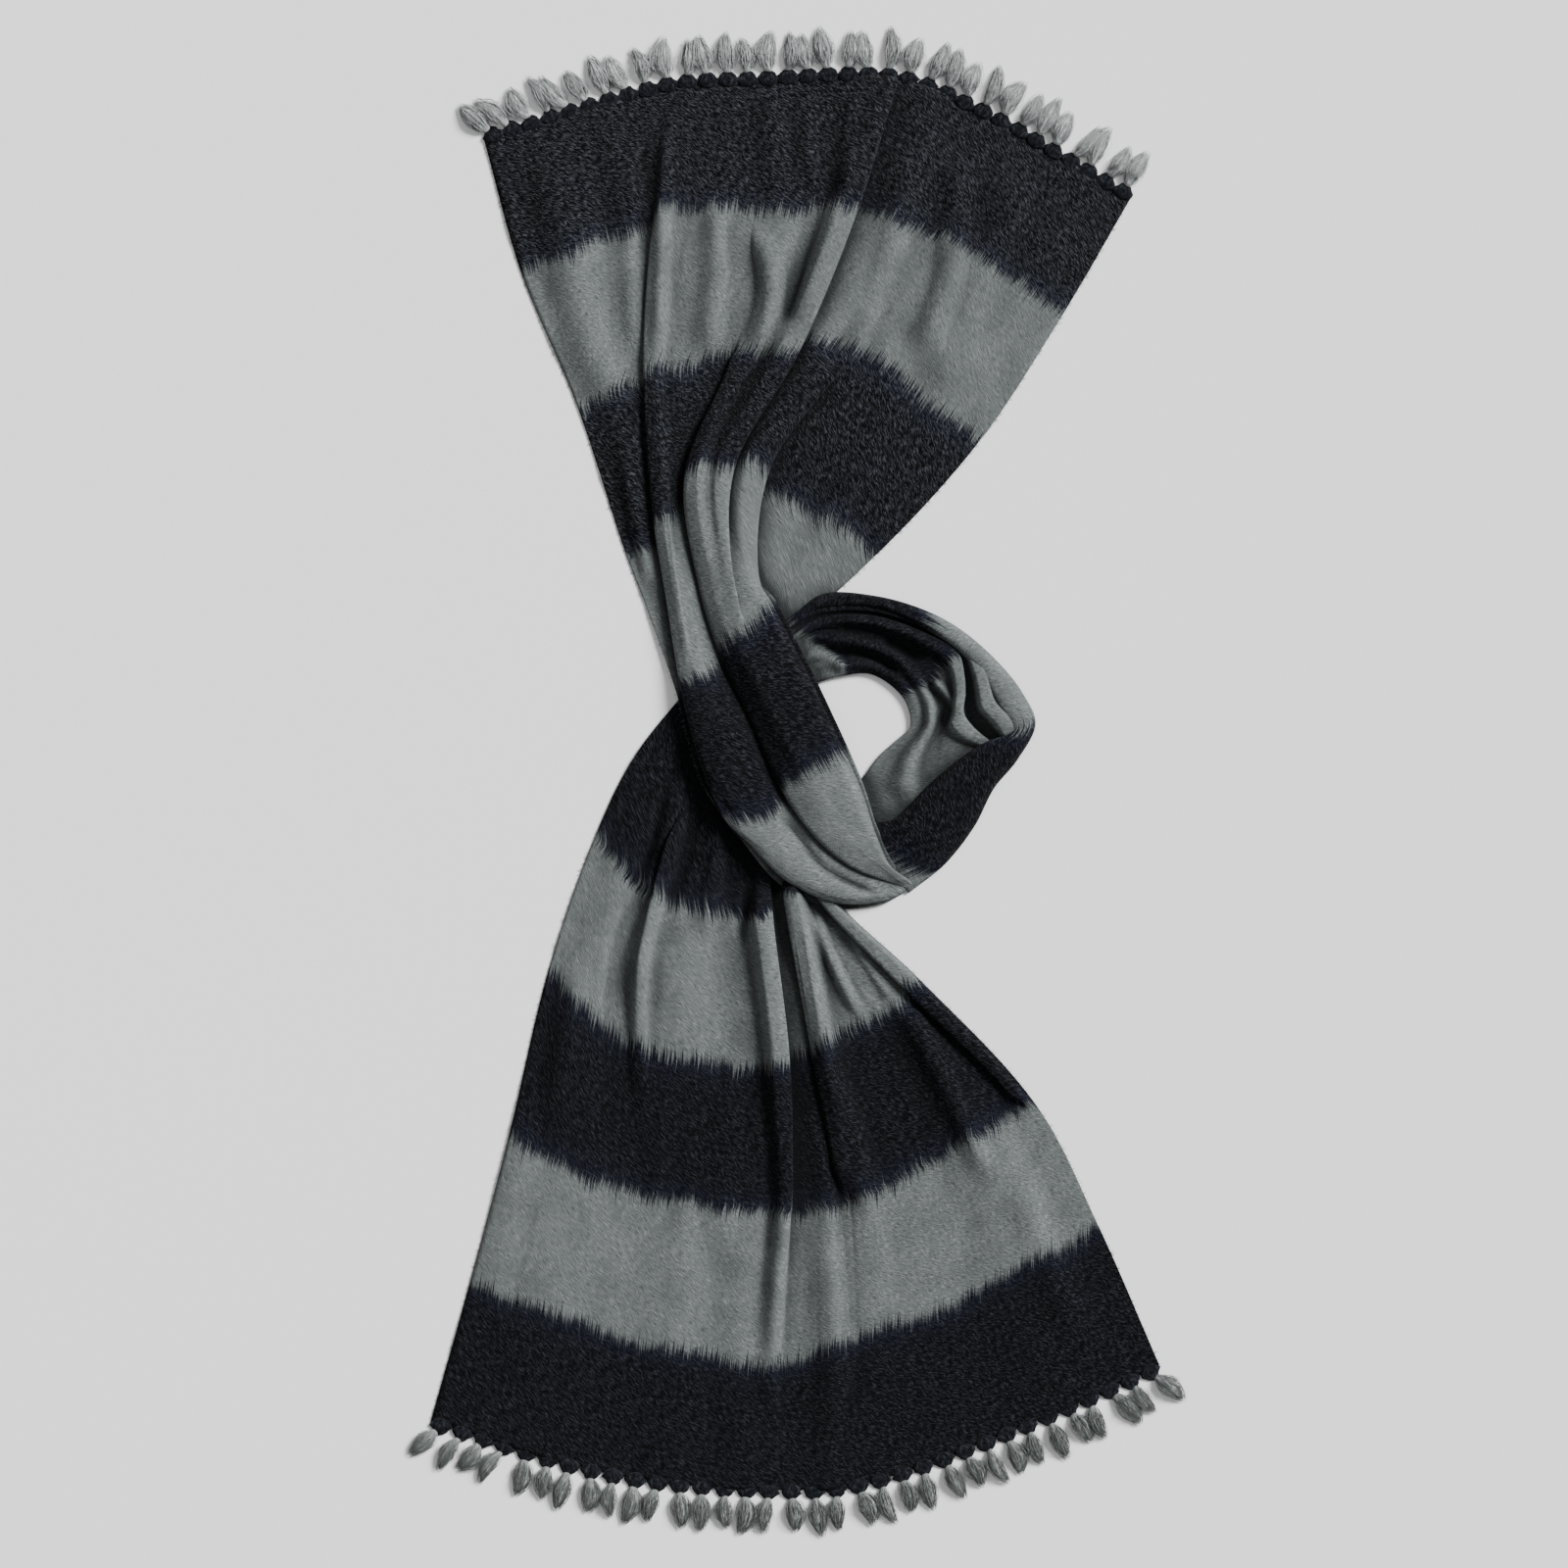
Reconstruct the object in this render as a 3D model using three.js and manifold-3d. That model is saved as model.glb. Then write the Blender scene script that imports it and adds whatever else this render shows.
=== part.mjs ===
// A long wool scarf with broad dyed bands and a tasselled fringe at each end, laid on a floor.
// The upper end panel fans out, gathers into a strand, crosses over the lower panel, turns back
// in a loop, passes under the strand and fans out again as the lower end panel.
// Millimetres, +Z up from the floor, +Y towards the upper fringe.
import * as THREE from "three";
import { mergeVertices } from "three/addons/utils/BufferGeometryUtils.js";
import Module from "manifold-3d";

const wasm = await Module();
wasm.setup();

const WALL = 1.2; // thickness of the brushed cloth
const SEAM_GAP = 0.3; // space left between neighbouring pieces
const SLIVER = 0.05; // the shortest edge worth keeping after a cut
const TUCK_FALL = 18; // how far past a tuck the upper layer takes to come down again
const ARC_STEPS = 2; // facets in each half turn of a pleat
const BEND_APART = 0.3; // the least cloth between a pleat's two bends
const UP = new THREE.Vector3(0, 0, 1);

const CLOTH_BLACK = new THREE.MeshStandardMaterial({ color: 0x1b1c20, roughness: 0.95, metalness: 0 });
const CLOTH_GREY = new THREE.MeshStandardMaterial({ color: 0x868b87, roughness: 0.95, metalness: 0 });

// Guides of the upper panel: one row for each selvedge and fold, from left to right.
// plan: where the line lies at the fringed end, at the first three dye edges and at the waist.
// turn: radius of the fold's half turns; tuck: length of its hidden layer, where -1 is laid out flat;
// slip: how much further along the line the lower layer's dye edge lies.
const UPPER_GUIDES = [
  {
    name: "left selvedge",
    plan: [[-288, 603], [-253, 478], [-201, 354], [-154, 212], [-137, 168]],
    lift: [0, 0, 0, 0, 0],
  },
  {
    name: "first fold",
    over: "right",
    plan: [[-119, 652], [-129, 542], [-138, 388], [-128, 243], [-116, 175]],
    turn: [1.2, 1.4, 1.9, 2.2, 2.2],
    tuck: [-0.8, 5, 9, 10, 8],
    slip: [0, 26, 14, 34, 5],
  },
  {
    name: "foot of the first ridge",
    plan: [[-78, 657], [-88, 538], [-108, 386], [-109, 252], [-92, 184]],
    lift: [0, 0, 0, 1, 2],
  },
  {
    name: "second ridge's edge",
    over: "right",
    plan: [[-40, 658], [-38, 535], [-54, 404], [-99, 288], [-86, 188]],
    turn: [1.2, 1.2, 2, 2.6, 2.2],
    tuck: [-1, -0.8, 4, 5, 3],
    slip: [0, 0, 16, 36, 4],
  },
  {
    name: "second fold",
    over: "left",
    plan: [[101, 660], [62, 535], [8, 404], [-52, 297], [-46, 203]],
    turn: [1.2, 1.6, 2.1, 2.8, 1.8],
    tuck: [1, 7, 10, 8, 2],
    slip: [0, 0, -13, -4, 0],
  },
  {
    name: "third fold",
    over: "left",
    plan: [[168, 634], [140, 512], [60, 402], [-19, 295], [-32, 196]],
    turn: [1.2, 1.2, 1.6, 2, 1.3],
    tuck: [-1, -0.9, -0.3, 3, 1],
    slip: [0, 0, 0, 24, 0],
  },
  {
    name: "right selvedge",
    plan: [[319, 548], [256, 440], [178, 321], [81, 214], [-6, 141]],
    lift: [0, 0, 0, 0, 0],
  },
];

// Soft ridges between two guides: which gap, where across it, how wide and how high at each station.
const UPPER_RIDGES = [
  { gap: 0, at: 0.45, width: 0.3, height: [1.5, 2, 2, 1, 0] },
  { gap: 1, at: 0.4, width: 0.4, height: [1, 1.5, 2, 3, 3] },
  { gap: 3, at: 0.3, width: 0.3, height: [1, 3, 6, 6, 6] },
  { gap: 3, at: 0.85, width: 0.16, height: [0.5, 2, 3, 1, 1] },
  { gap: 4, at: 0.5, width: 0.4, height: [1, 3, 5, 5, 2] },
  { gap: 5, at: 0.3, width: 0.22, height: [1.5, 3, 3, 1, 0] },
  { gap: 5, at: 0.72, width: 0.2, height: [2, 2, 1.5, 0, 0] },
];

// Guides of the lower panel, at its hidden start, the edge of the crossing, the last four dye
// edges and the fringed end.
const LOWER_GUIDES = [
  {
    name: "left selvedge",
    plan: [[-90, 96], [-148, 22], [-185, -54], [-227, -175], [-266, -338], [-301, -469], [-338, -600]],
    lift: [3, 1, 0, 0, 0, 0, 0],
  },
  {
    name: "first fold",
    over: "right",
    plan: [[-78, 42], [-99, -6], [-130, -105], [-155, -242], [-152, -385], [-160, -520], [-166, -650]],
    turn: [1.2, 1.5, 1.8, 1.7, 1.2, 1.2, 1.2],
    tuck: [3, 5, 6, 5, -0.6, -1, -1],
    slip: [0, 0, 4, -10, 0, 0, 0],
  },
  {
    name: "second fold",
    over: "left",
    plan: [[-14, -60], [-19, -92], [-17, -127], [-1, -265], [1, -404], [-5, -546], [-12, -664]],
    turn: [1.2, 1.5, 2, 2, 1.7, 1.3, 1.2],
    tuck: [3, 6, 10, 10, 6, 1, -1],
    slip: [0, 0, -16, -8, 0, 0, 0],
  },
  {
    name: "third fold",
    over: "right",
    plan: [[-2, -66], [-9, -97], [-7, -110], [19, -250], [46, -397], [55, -524], [52, -661]],
    turn: [1.2, 1.5, 2, 1.8, 1.2, 1.2, 1.2],
    tuck: [3, 4, 4, 3, -0.7, -1, -1],
    slip: [0, 0, 2, 6, 0, 0, 0],
  },
  {
    name: "foot of the third ridge",
    plan: [[12, -72], [8, -101], [16, -118], [64, -228], [112, -369], [130, -498], [136, -637]],
    lift: [2, 1, 1, 0, 0, 0, 0],
  },
  {
    name: "turned edge",
    over: "right",
    plan: [[24, -80], [22, -108], [38, -142], [106, -194], [218, -309], [278, -424], [335, -553]],
    turn: [1.2, 1.4, 1.7, 1.6, 1.2, 1.2, 1.2],
    tuck: [2, 4, 5, 5, -0.4, -1, -1],
    slip: [0, 0, 0, 12, 0, 0, 0],
  },
  {
    name: "right selvedge",
    plan: [[42, -92], [42, -115], [62, -133], [119, -184], [231, -304], [289, -417], [346, -547]],
    lift: [2, 1, 0, 0, 0, 0, 0],
  },
];

const LOWER_RIDGES = [
  { gap: 0, at: 0.5, width: 0.35, height: [2, 2, 3, 2.5, 2, 2, 1.5] },
  { gap: 1, at: 0.3, width: 0.25, height: [1, 2, 3, 3, 3, 2, 1.5] },
  { gap: 1, at: 0.72, width: 0.2, height: [1, 2, 2, 3, 2, 2, 1.5] },
  { gap: 3, at: 0.45, width: 0.45, height: [1, 1, 2, 3, 2, 1, 0] },
  { gap: 4, at: 0.5, width: 0.35, height: [0, 1, 2, 4, 4, 3, 2] },
];

// Sections of the strand where it is gathered, from the waist down to the turn of the loop.
// left, right: its outline; base: the underside at each side, raised where it crosses the lower
// panel; sliver, split, groove: where across it the outer layer's edge and the two grooves lie;
// high: the tops of the outer layer and of the three ridges above the base.
const STRAND_SECTIONS = [
  {
    name: "waist",
    left: [-135, 163],
    right: [-41, 202],
    base: [0, 2.5],
    sliver: 0.2,
    split: 0.4,
    groove: 0.48,
    high: [1.5, 9, 6, 11],
  },
  {
    name: "fourth dye edge",
    left: [-108, 86],
    right: [-20, 162],
    base: [5, 12],
    sliver: 0.06,
    split: 0.4,
    groove: 0.48,
    high: [3, 11, 9, 13],
  },
  {
    name: "crossing",
    left: [-95, 35],
    right: [14, 92],
    base: [9, 12],
    sliver: 0.04,
    split: 0.42,
    groove: 0.48,
    high: [3, 12, 11, 14],
  },
  {
    name: "fifth dye edge",
    left: [-80, -8],
    right: [45, 26],
    base: [9, 11],
    sliver: 0.08,
    split: 0.47,
    groove: 0.55,
    high: [3, 12, 11, 13],
  },
  {
    name: "below the crossing",
    left: [-44, -58],
    right: [66, -24],
    base: [8, 7],
    sliver: 0.07,
    split: 0.5,
    groove: 0.62,
    high: [3, 12, 11, 13],
  },
  {
    name: "start of the turn",
    left: [-5, -98],
    right: [78, -62],
    base: [7.5, 3],
    sliver: 0.05,
    split: 0.5,
    groove: 0.68,
    high: [3, 12, 12, 13],
  },
  {
    name: "bottom of the turn",
    left: [46, -119],
    right: [94, -82],
    base: [3, 1],
    sliver: 0.03,
    split: 0.34,
    groove: 0.7,
    high: [3, 12, 13, 14],
  },
  {
    name: "tip",
    left: [84, -114],
    right: [117, -91],
    base: [0, 0],
    sliver: 0.02,
    split: 0.1,
    groove: 0.8,
    high: [3, 8, 11, 9],
  },
];

// Sections of the loop's outer stretch, round from the turn to where it goes under the strand.
const RIM_SECTIONS = [
  { name: "turn", inner: [59, -37], outer: [101, -103], high: 6 },
  { name: "sixth dye edge", inner: [97, -34], outer: [146, -75], high: 12 },
  { name: "lower right", inner: [128, -5], outer: [172, -41], high: 13 },
  { name: "right", inner: [152, 16], outer: [190, -6], high: 13 },
  { name: "below the corner", inner: [178, 35], outer: [212, 21], high: 13 },
  { name: "corner", inner: [206, 49], outer: [229, 55], high: 14 },
  { name: "above the corner", inner: [200, 72], outer: [217, 83], high: 15 },
  { name: "upper right", inner: [182, 101], outer: [197, 109], high: 15 },
  { name: "seventh dye edge", inner: [152, 129], outer: [160, 142], high: 14 },
  { name: "shoulder", inner: [120, 148], outer: [125, 161], high: 13 },
  { name: "top", inner: [78, 164], outer: [80, 174], high: 12 },
  { name: "left shoulder", inner: [34, 164], outer: [30, 176], high: 11 },
  { name: "left end", inner: [8, 155], outer: [6, 159], high: 10 },
  { name: "under the strand", inner: [-14, 138], outer: [-18, 142], high: 9 },
];

// The rim's section: shares of its width and of its height, above a least height at its two feet.
const RIM_SHAPE = [
  { across: 0, up: 0, least: 2 },
  { across: 0.06, up: 0.62, least: 0 },
  { across: 0.22, up: 0.9, least: 0 },
  { across: 0.5, up: 1, least: 0 },
  { across: 0.78, up: 0.86, least: 0 },
  { across: 0.95, up: 0.5, least: 0 },
  { across: 1, up: 0, least: 1 },
];

// Guides of the loop's inner stretch, from the hole outwards, at its foot on the outer stretch,
// then up its pleats, over the arch and under the strand.
const INNER_GUIDES = [
  {
    name: "edge of the hole",
    plan: [
      [82, -44], [60, -11], [80, 23], [112, 49], [107, 77],
      [76, 101], [45, 99], [16, 90], [-16, 74],
    ],
    lift: [4, 6, 6, 6, 6, 5, 5, 6, 6],
  },
  {
    name: "hollow beside the first pleat",
    plan: [
      [133, -9], [127, 4], [126, 14], [133, 42], [133, 90],
      [100, 115], [58, 122], [18, 116], [-15, 100],
    ],
    lift: [5, 5, 5, 6, 10, 8, 7, 8, 7],
  },
  {
    name: "second pleat",
    plan: [
      [156, 9], [151, 24], [150, 36], [152, 62], [147, 108],
      [110, 131], [60, 138], [16, 131], [-15, 112],
    ],
    lift: [12, 12, 13, 14, 15, 12, 11, 10, 8],
  },
  {
    name: "hollow beside the second pleat",
    plan: [
      [184, 30], [177, 44], [168, 56], [164, 80], [158, 119],
      [116, 140], [60, 149], [12, 143], [-16, 124],
    ],
    lift: [6, 5, 5, 5, 8, 8, 8, 9, 8],
  },
  {
    name: "third pleat",
    plan: [
      [199, 36], [197, 50], [188, 66], [178, 92], [161, 124],
      [119, 145], [60, 158], [8, 150], [-16, 132],
    ],
    lift: [11, 12, 11, 11, 11, 11, 11, 10, 8],
  },
  {
    name: "side of the rim",
    plan: [
      [211, 44], [205, 58], [198, 76], [184, 100], [164, 121],
      [120, 149], [60, 168], [6, 158], [-16, 140],
    ],
    lift: [5, 5, 5, 5, 7, 8, 8, 8, 7],
  },
];

// The hidden stretch between the loop and the lower panel, flattened under the strand.
const PASS_SECTIONS = [
  { name: "end of the loop", left: [-21, 139], right: [-20, 73], high: 8 },
  { name: "middle", left: [-55, 122], right: [0, 0], high: 8 },
  { name: "start of the lower panel", left: [-88, 97], right: [42, -90], high: 6 },
];

// The tassels of a fringe: each is a looped bundle of warp ends below a knot.
const TASSEL = { count: 34, length: 38, width: 16, thick: 8, floorGap: 0.6 };
const FRINGE_STRIP = { depth: 4, height: 2.4, facets: 16 };
// How far the tassels lean out at the left and right ends of a fringe, over how much of its length.
const UPPER_LEAN = { left: 0.6, right: 0.1, reach: 0.25 };
const LOWER_LEAN = { left: 0.6, right: 0.4, reach: 0.15 };

// A smooth line through plan points; t runs from 0 to 1, the same share for each span.
function lineThrough(points) {
  const flat = points.map((p) => new THREE.Vector3(...(p.isVector2 ? [p.x, p.y] : p), 0));
  const curve = new THREE.CatmullRomCurve3(flat, false, "centripetal");
  return {
    at: (t) => flatten(curve.getPoint(t)),
    atLength: (u) => flatten(curve.getPointAt(u)),
  };
}

function flatten(point) {
  return new THREE.Vector2(point.x, point.y);
}

function between(values, t) {
  const place = t * (values.length - 1);
  const i = Math.min(Math.floor(place), values.length - 2);
  return THREE.MathUtils.lerp(values[i], values[i + 1], place - i);
}

function smooth(x) {
  return THREE.MathUtils.smoothstep(x, 0, 1);
}

// One half-turn-and-back fold, as steps across (positive away from the lower layer) and up.
// Each bend takes the cloth of a half turn of radius turn. A tuck below 0 opens the bends, until
// the cloth is flat at -1.
function foldSteps(turn, tuck) {
  const angle = Math.PI * Math.max(Math.min(1 + tuck, 1), 0.01);
  const radius = (Math.PI * turn) / angle;
  const hidden = Math.max(tuck, 0);
  const apart = hidden > BEND_APART ? 0 : BEND_APART * Math.cos(angle);
  const bend = { across: radius * Math.sin(angle), up: radius * (1 - Math.cos(angle)) };
  const start = { across: bend.across + hidden * Math.cos(angle), up: bend.up + hidden * Math.sin(angle) };
  const steps = [];
  for (let k = 0; k <= ARC_STEPS; k += 1) {
    const a = (angle * k) / ARC_STEPS;
    steps.push({ across: radius * Math.sin(a), up: radius * (1 - Math.cos(a)) });
  }
  for (let k = 0; k <= ARC_STEPS; k += 1) {
    const a = angle * (1 - k / ARC_STEPS);
    steps.push({
      across: start.across + apart + radius * (Math.sin(angle) - Math.sin(a)),
      up: start.up + radius * (Math.cos(a) - Math.cos(angle)),
    });
  }
  return steps;
}

// The guides' places at station t, with the way across the cloth and along it at each.
function guidesAt(guides, t) {
  const ahead = Math.min(t + 0.01, 1);
  const behind = Math.max(t - 0.01, 0);
  const found = guides.map((guide) => {
    const line = lineThrough(guide.plan);
    const along = line.at(ahead).sub(line.at(behind)).normalize();
    return { guide, along, plan: line.at(t), lift: guide.lift ? between(guide.lift, t) : 0 };
  });
  found.forEach((g, i) => {
    const before = found[Math.max(i - 1, 0)].plan;
    const after = found[Math.min(i + 1, found.length - 1)].plan;
    g.across = after.clone().sub(before).normalize();
  });
  return found;
}

// A pleat's points at its guide: plan offsets and heights, from the left layer to the right one.
function pleatAt({ guide, along, across, lift }, t) {
  if (!guide.over) return [{ offset: new THREE.Vector2(), up: lift, share: 0 }];
  const steps = foldSteps(between(guide.turn, t), between(guide.tuck, t));
  const slip = between(guide.slip, t);
  const side = guide.over === "right" ? 1 : -1;
  const top = steps[steps.length - 1].across;
  const left = Math.min(...steps.map((s) => s.across));
  const points = steps.map((s, k) => {
    const lower = 1 - k / (steps.length - 1);
    const offset = across.clone().multiplyScalar(side * (s.across - Math.min(left, top)));
    offset.addScaledVector(along, slip * lower);
    return { offset, up: lift + s.up };
  });
  return side > 0 ? points : points.reverse();
}

// How far a pleat's hidden layers reach under the cloth on the side that lies over.
function tuckReach(guide, side, t) {
  if (guide.over !== side) return 0;
  const tuck = between(guide.tuck, t);
  return Math.max(tuck, 0) + 2 * between(guide.turn, t) * THREE.MathUtils.clamp(1 + tuck, 0, 1) + WALL;
}

// The cloth's middle surface across station t, from the left selvedge to the right one.
function sectionAt(guides, ridges, counts, t) {
  const found = guidesAt(guides, t);
  const across = lineThrough(found.map((g) => g.plan));
  const pleats = found.map((g) => pleatAt(g, t));
  const points = [];
  found.forEach((g, i) => {
    pleats[i].forEach((p) => points.push([g.plan.x + p.offset.x, g.plan.y + p.offset.y, p.up + WALL / 2]));
    if (i === found.length - 1) return;
    const from = pleats[i][pleats[i].length - 1];
    const to = pleats[i + 1][0];
    const next = found[i + 1];
    const width = g.plan.distanceTo(next.plan);
    const reachHere = tuckReach(g.guide, "right", t);
    const reachNext = tuckReach(next.guide, "left", t);
    const first = reachHere ? Math.min(reachHere / width, 0.45) : 1 / counts[i];
    const last = 1 - (reachNext ? Math.min(reachNext / width, 0.45) : 1 / counts[i]);
    for (let k = 1; k < counts[i]; k += 1) {
      const f = counts[i] === 2 ? 0.5 : THREE.MathUtils.lerp(first, last, (k - 1) / (counts[i] - 2));
      const plan = across.at((i + f) / (found.length - 1));
      plan.addScaledVector(from.offset, 1 - f).addScaledVector(to.offset, f);
      const fall = 1 - smooth((f * width - reachHere) / Math.min(TUCK_FALL, width * 0.7));
      const rise = 1 - smooth(((1 - f) * width - reachNext) / Math.min(TUCK_FALL, width * 0.7));
      const low = THREE.MathUtils.lerp(g.lift, next.lift, f);
      let up = low + (from.up - g.lift) * fall + (to.up - next.lift) * rise;
      ridges
        .filter((r) => r.gap === i)
        .forEach((r) => {
          const away = Math.abs(f - r.at) / r.width;
          up += between(r.height, t) * (away < 1 ? 0.5 + 0.5 * Math.cos(Math.PI * away) : 0);
        });
      points.push([plan.x, plan.y, up + WALL / 2]);
    }
  });
  return points.map((p) => new THREE.Vector3(...p));
}

// A closed body from faces that list vertex numbers.
function bodyOf(vertices, triangles) {
  const geometry = new THREE.BufferGeometry();
  const places = vertices.flatMap((v) => v.toArray());
  geometry.setAttribute("position", new THREE.Float32BufferAttribute(places, 3));
  geometry.setIndex(triangles);
  return geometry;
}

function quad(triangles, a, b, c, d) {
  triangles.push(a, b, c, a, c, d);
}

// A wall of cloth round a grid of points: rows run across the cloth.
function wallRound(rows) {
  const wide = rows[0].length;
  const long = rows.length;
  const at = (i, j) => rows[THREE.MathUtils.clamp(i, 0, long - 1)][THREE.MathUtils.clamp(j, 0, wide - 1)];
  const top = [];
  const under = [];
  for (let i = 0; i < long; i += 1) {
    for (let j = 0; j < wide; j += 1) {
      const along = at(i + 1, j).clone().sub(at(i - 1, j));
      const across = at(i, j + 1).clone().sub(at(i, j - 1));
      const out = along.cross(across).normalize().multiplyScalar(WALL / 2);
      top.push(at(i, j).clone().add(out));
      under.push(at(i, j).clone().sub(out));
    }
  }
  const count = top.length;
  const t = (i, j) => i * wide + j;
  const u = (i, j) => count + i * wide + j;
  const triangles = [];
  for (let i = 0; i < long - 1; i += 1) {
    for (let j = 0; j < wide - 1; j += 1) {
      quad(triangles, t(i, j), t(i + 1, j), t(i + 1, j + 1), t(i, j + 1));
      quad(triangles, u(i, j), u(i, j + 1), u(i + 1, j + 1), u(i + 1, j));
    }
    quad(triangles, t(i, 0), u(i, 0), u(i + 1, 0), t(i + 1, 0));
    quad(triangles, t(i + 1, wide - 1), u(i + 1, wide - 1), u(i, wide - 1), t(i, wide - 1));
  }
  for (let j = 0; j < wide - 1; j += 1) {
    quad(triangles, t(0, j), t(0, j + 1), u(0, j + 1), u(0, j));
    quad(triangles, t(long - 1, j + 1), t(long - 1, j), u(long - 1, j), u(long - 1, j + 1));
  }
  return bodyOf([...top, ...under], triangles);
}

// A gathered body under a grid of points, closed by a flat underside at each row's base heights.
function heapUnder(rows, bases) {
  const wide = rows[0].length;
  const long = rows.length;
  const vertices = rows.flat();
  const low = vertices.length;
  rows.forEach((row, i) => {
    const [left, right] = bases[i];
    vertices.push(row[0].clone().setZ(left), row[wide - 1].clone().setZ(right));
  });
  const t = (i, j) => i * wide + j;
  const l = (i) => low + 2 * i;
  const r = (i) => low + 2 * i + 1;
  const triangles = [];
  for (let i = 0; i < long - 1; i += 1) {
    for (let j = 0; j < wide - 1; j += 1) {
      quad(triangles, t(i, j), t(i + 1, j), t(i + 1, j + 1), t(i, j + 1));
    }
    quad(triangles, t(i, 0), l(i), l(i + 1), t(i + 1, 0));
    quad(triangles, t(i + 1, wide - 1), r(i + 1), r(i), t(i, wide - 1));
    quad(triangles, l(i), r(i), r(i + 1), l(i + 1));
  }
  const middle = Math.floor(wide / 2);
  [0, long - 1].forEach((i) => {
    const cap = [];
    for (let j = 0; j < wide - 1; j += 1) cap.push(j < middle ? l(i) : r(i), t(i, j), t(i, j + 1));
    cap.push(l(i), t(i, middle), r(i));
    triangles.push(...(i === 0 ? cap : cap.reverse()));
  });
  return bodyOf(vertices, triangles);
}

// Rounded ridges side by side across a gathered stretch: heights above the base at shares across.
function ridgeHeights(bounds, tops, grooveLow) {
  const shape = [
    [0.04, 0.45],
    [0.2, 0.86],
    [0.5, 1],
    [0.8, 0.86],
    [0.96, 0.45],
  ];
  const heights = [{ share: 0, up: 0.6 }];
  tops.forEach((top, n) => {
    const from = bounds[n];
    const to = bounds[n + 1];
    shape.forEach(([f, h]) => heights.push({ share: THREE.MathUtils.lerp(from, to, f), up: top * h }));
    const last = n === tops.length - 1;
    heights.push({ share: to, up: last ? 0.6 : Math.min(grooveLow, top * 0.4) });
  });
  return heights;
}

function strandRows(steps) {
  const lefts = lineThrough(STRAND_SECTIONS.map((s) => s.left));
  const rights = lineThrough(STRAND_SECTIONS.map((s) => s.right));
  const read = (pick, t) => between(STRAND_SECTIONS.map(pick), t);
  const rows = [];
  const bases = [];
  for (let i = 0; i <= steps; i += 1) {
    const t = i / steps;
    const left = lefts.at(t);
    const right = rights.at(t);
    const base = [0, 1].map((side) => read((s) => s.base[side], t));
    const bounds = [0, read((s) => s.sliver, t), read((s) => s.split, t), read((s) => s.groove, t), 1];
    const tops = [0, 1, 2, 3].map((n) => read((s) => s.high[n], t));
    rows.push(
      ridgeHeights(bounds, tops, 5).map(({ share, up }) => {
        const plan = left.clone().lerp(right, share);
        return new THREE.Vector3(plan.x, plan.y, THREE.MathUtils.lerp(base[0], base[1], share) + up);
      }),
    );
    bases.push(base);
  }
  return { rows, bases };
}

function rimRows(steps) {
  const inners = lineThrough(RIM_SECTIONS.map((s) => s.inner));
  const outers = lineThrough(RIM_SECTIONS.map((s) => s.outer));
  const rows = [];
  const bases = [];
  for (let i = 0; i <= steps; i += 1) {
    const t = i / steps;
    const inner = inners.at(t);
    const outer = outers.at(t);
    const high = between(RIM_SECTIONS.map((s) => s.high), t);
    const row = RIM_SHAPE.map(({ across, up, least }) => {
      const plan = inner.clone().lerp(outer, across);
      return new THREE.Vector3(plan.x, plan.y, least + high * up);
    });
    rows.push(row.reverse());
    bases.push([0, 0]);
  }
  return { rows, bases };
}

function innerRows(steps, counts) {
  const rows = [];
  const bases = [];
  for (let i = 0; i <= steps; i += 1) {
    const t = i / steps;
    const found = guidesAt(INNER_GUIDES, t);
    const row = [];
    found.forEach((g, n) => {
      row.push(new THREE.Vector3(g.plan.x, g.plan.y, g.lift));
      const next = found[n + 1];
      for (let k = 1; next && k < counts[n]; k += 1) {
        const f = k / counts[n];
        const plan = g.plan.clone().lerp(next.plan, f);
        row.push(new THREE.Vector3(plan.x, plan.y, THREE.MathUtils.lerp(g.lift, next.lift, smooth(f))));
      }
    });
    rows.push(row.reverse());
    bases.push([0, 0]);
  }
  return { rows, bases };
}

function passRows(steps) {
  const lefts = lineThrough(PASS_SECTIONS.map((s) => s.left));
  const rights = lineThrough(PASS_SECTIONS.map((s) => s.right));
  const rows = [];
  const bases = [];
  for (let i = 0; i <= steps; i += 1) {
    const t = i / steps;
    const high = between(PASS_SECTIONS.map((s) => s.high), t);
    rows.push(
      [[0, 2], [0.08, high], [0.5, high], [0.92, high], [1, 2]].map(([share, up]) => {
        const plan = lefts.at(t).lerp(rights.at(t), share);
        return new THREE.Vector3(plan.x, plan.y, up);
      }),
    );
    bases.push([0, 0]);
  }
  return { rows, bases };
}

function panelRows(guides, ridges, counts, steps, from, to) {
  const rows = [];
  for (let i = 0; i <= steps; i += 1) {
    rows.push(sectionAt(guides, ridges, counts, THREE.MathUtils.lerp(from, to, i / steps)));
  }
  return rows;
}

function solidOf(geometry) {
  const plain = geometry.clone();
  plain.deleteAttribute("normal");
  plain.deleteAttribute("uv");
  const merged = mergeVertices(plain, 1e-4);
  return new wasm.Manifold(
    new wasm.Mesh({
      numProp: 3,
      vertProperties: Float32Array.from(merged.attributes.position.array),
      triVerts: Uint32Array.from(merged.index.array),
    }),
  );
}

// The largest body of a solid, as a geometry without the crumbs and slivers that a cut can leave.
function geometryOf(solid) {
  const bodies = solid.decompose().sort((a, b) => b.volume() - a.volume());
  const mesh = bodies[0].simplify(SLIVER).getMesh();
  const geometry = new THREE.BufferGeometry();
  geometry.setAttribute("position", new THREE.Float32BufferAttribute(mesh.vertProperties, 3));
  geometry.setIndex(Array.from(mesh.triVerts));
  return geometry;
}

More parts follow.
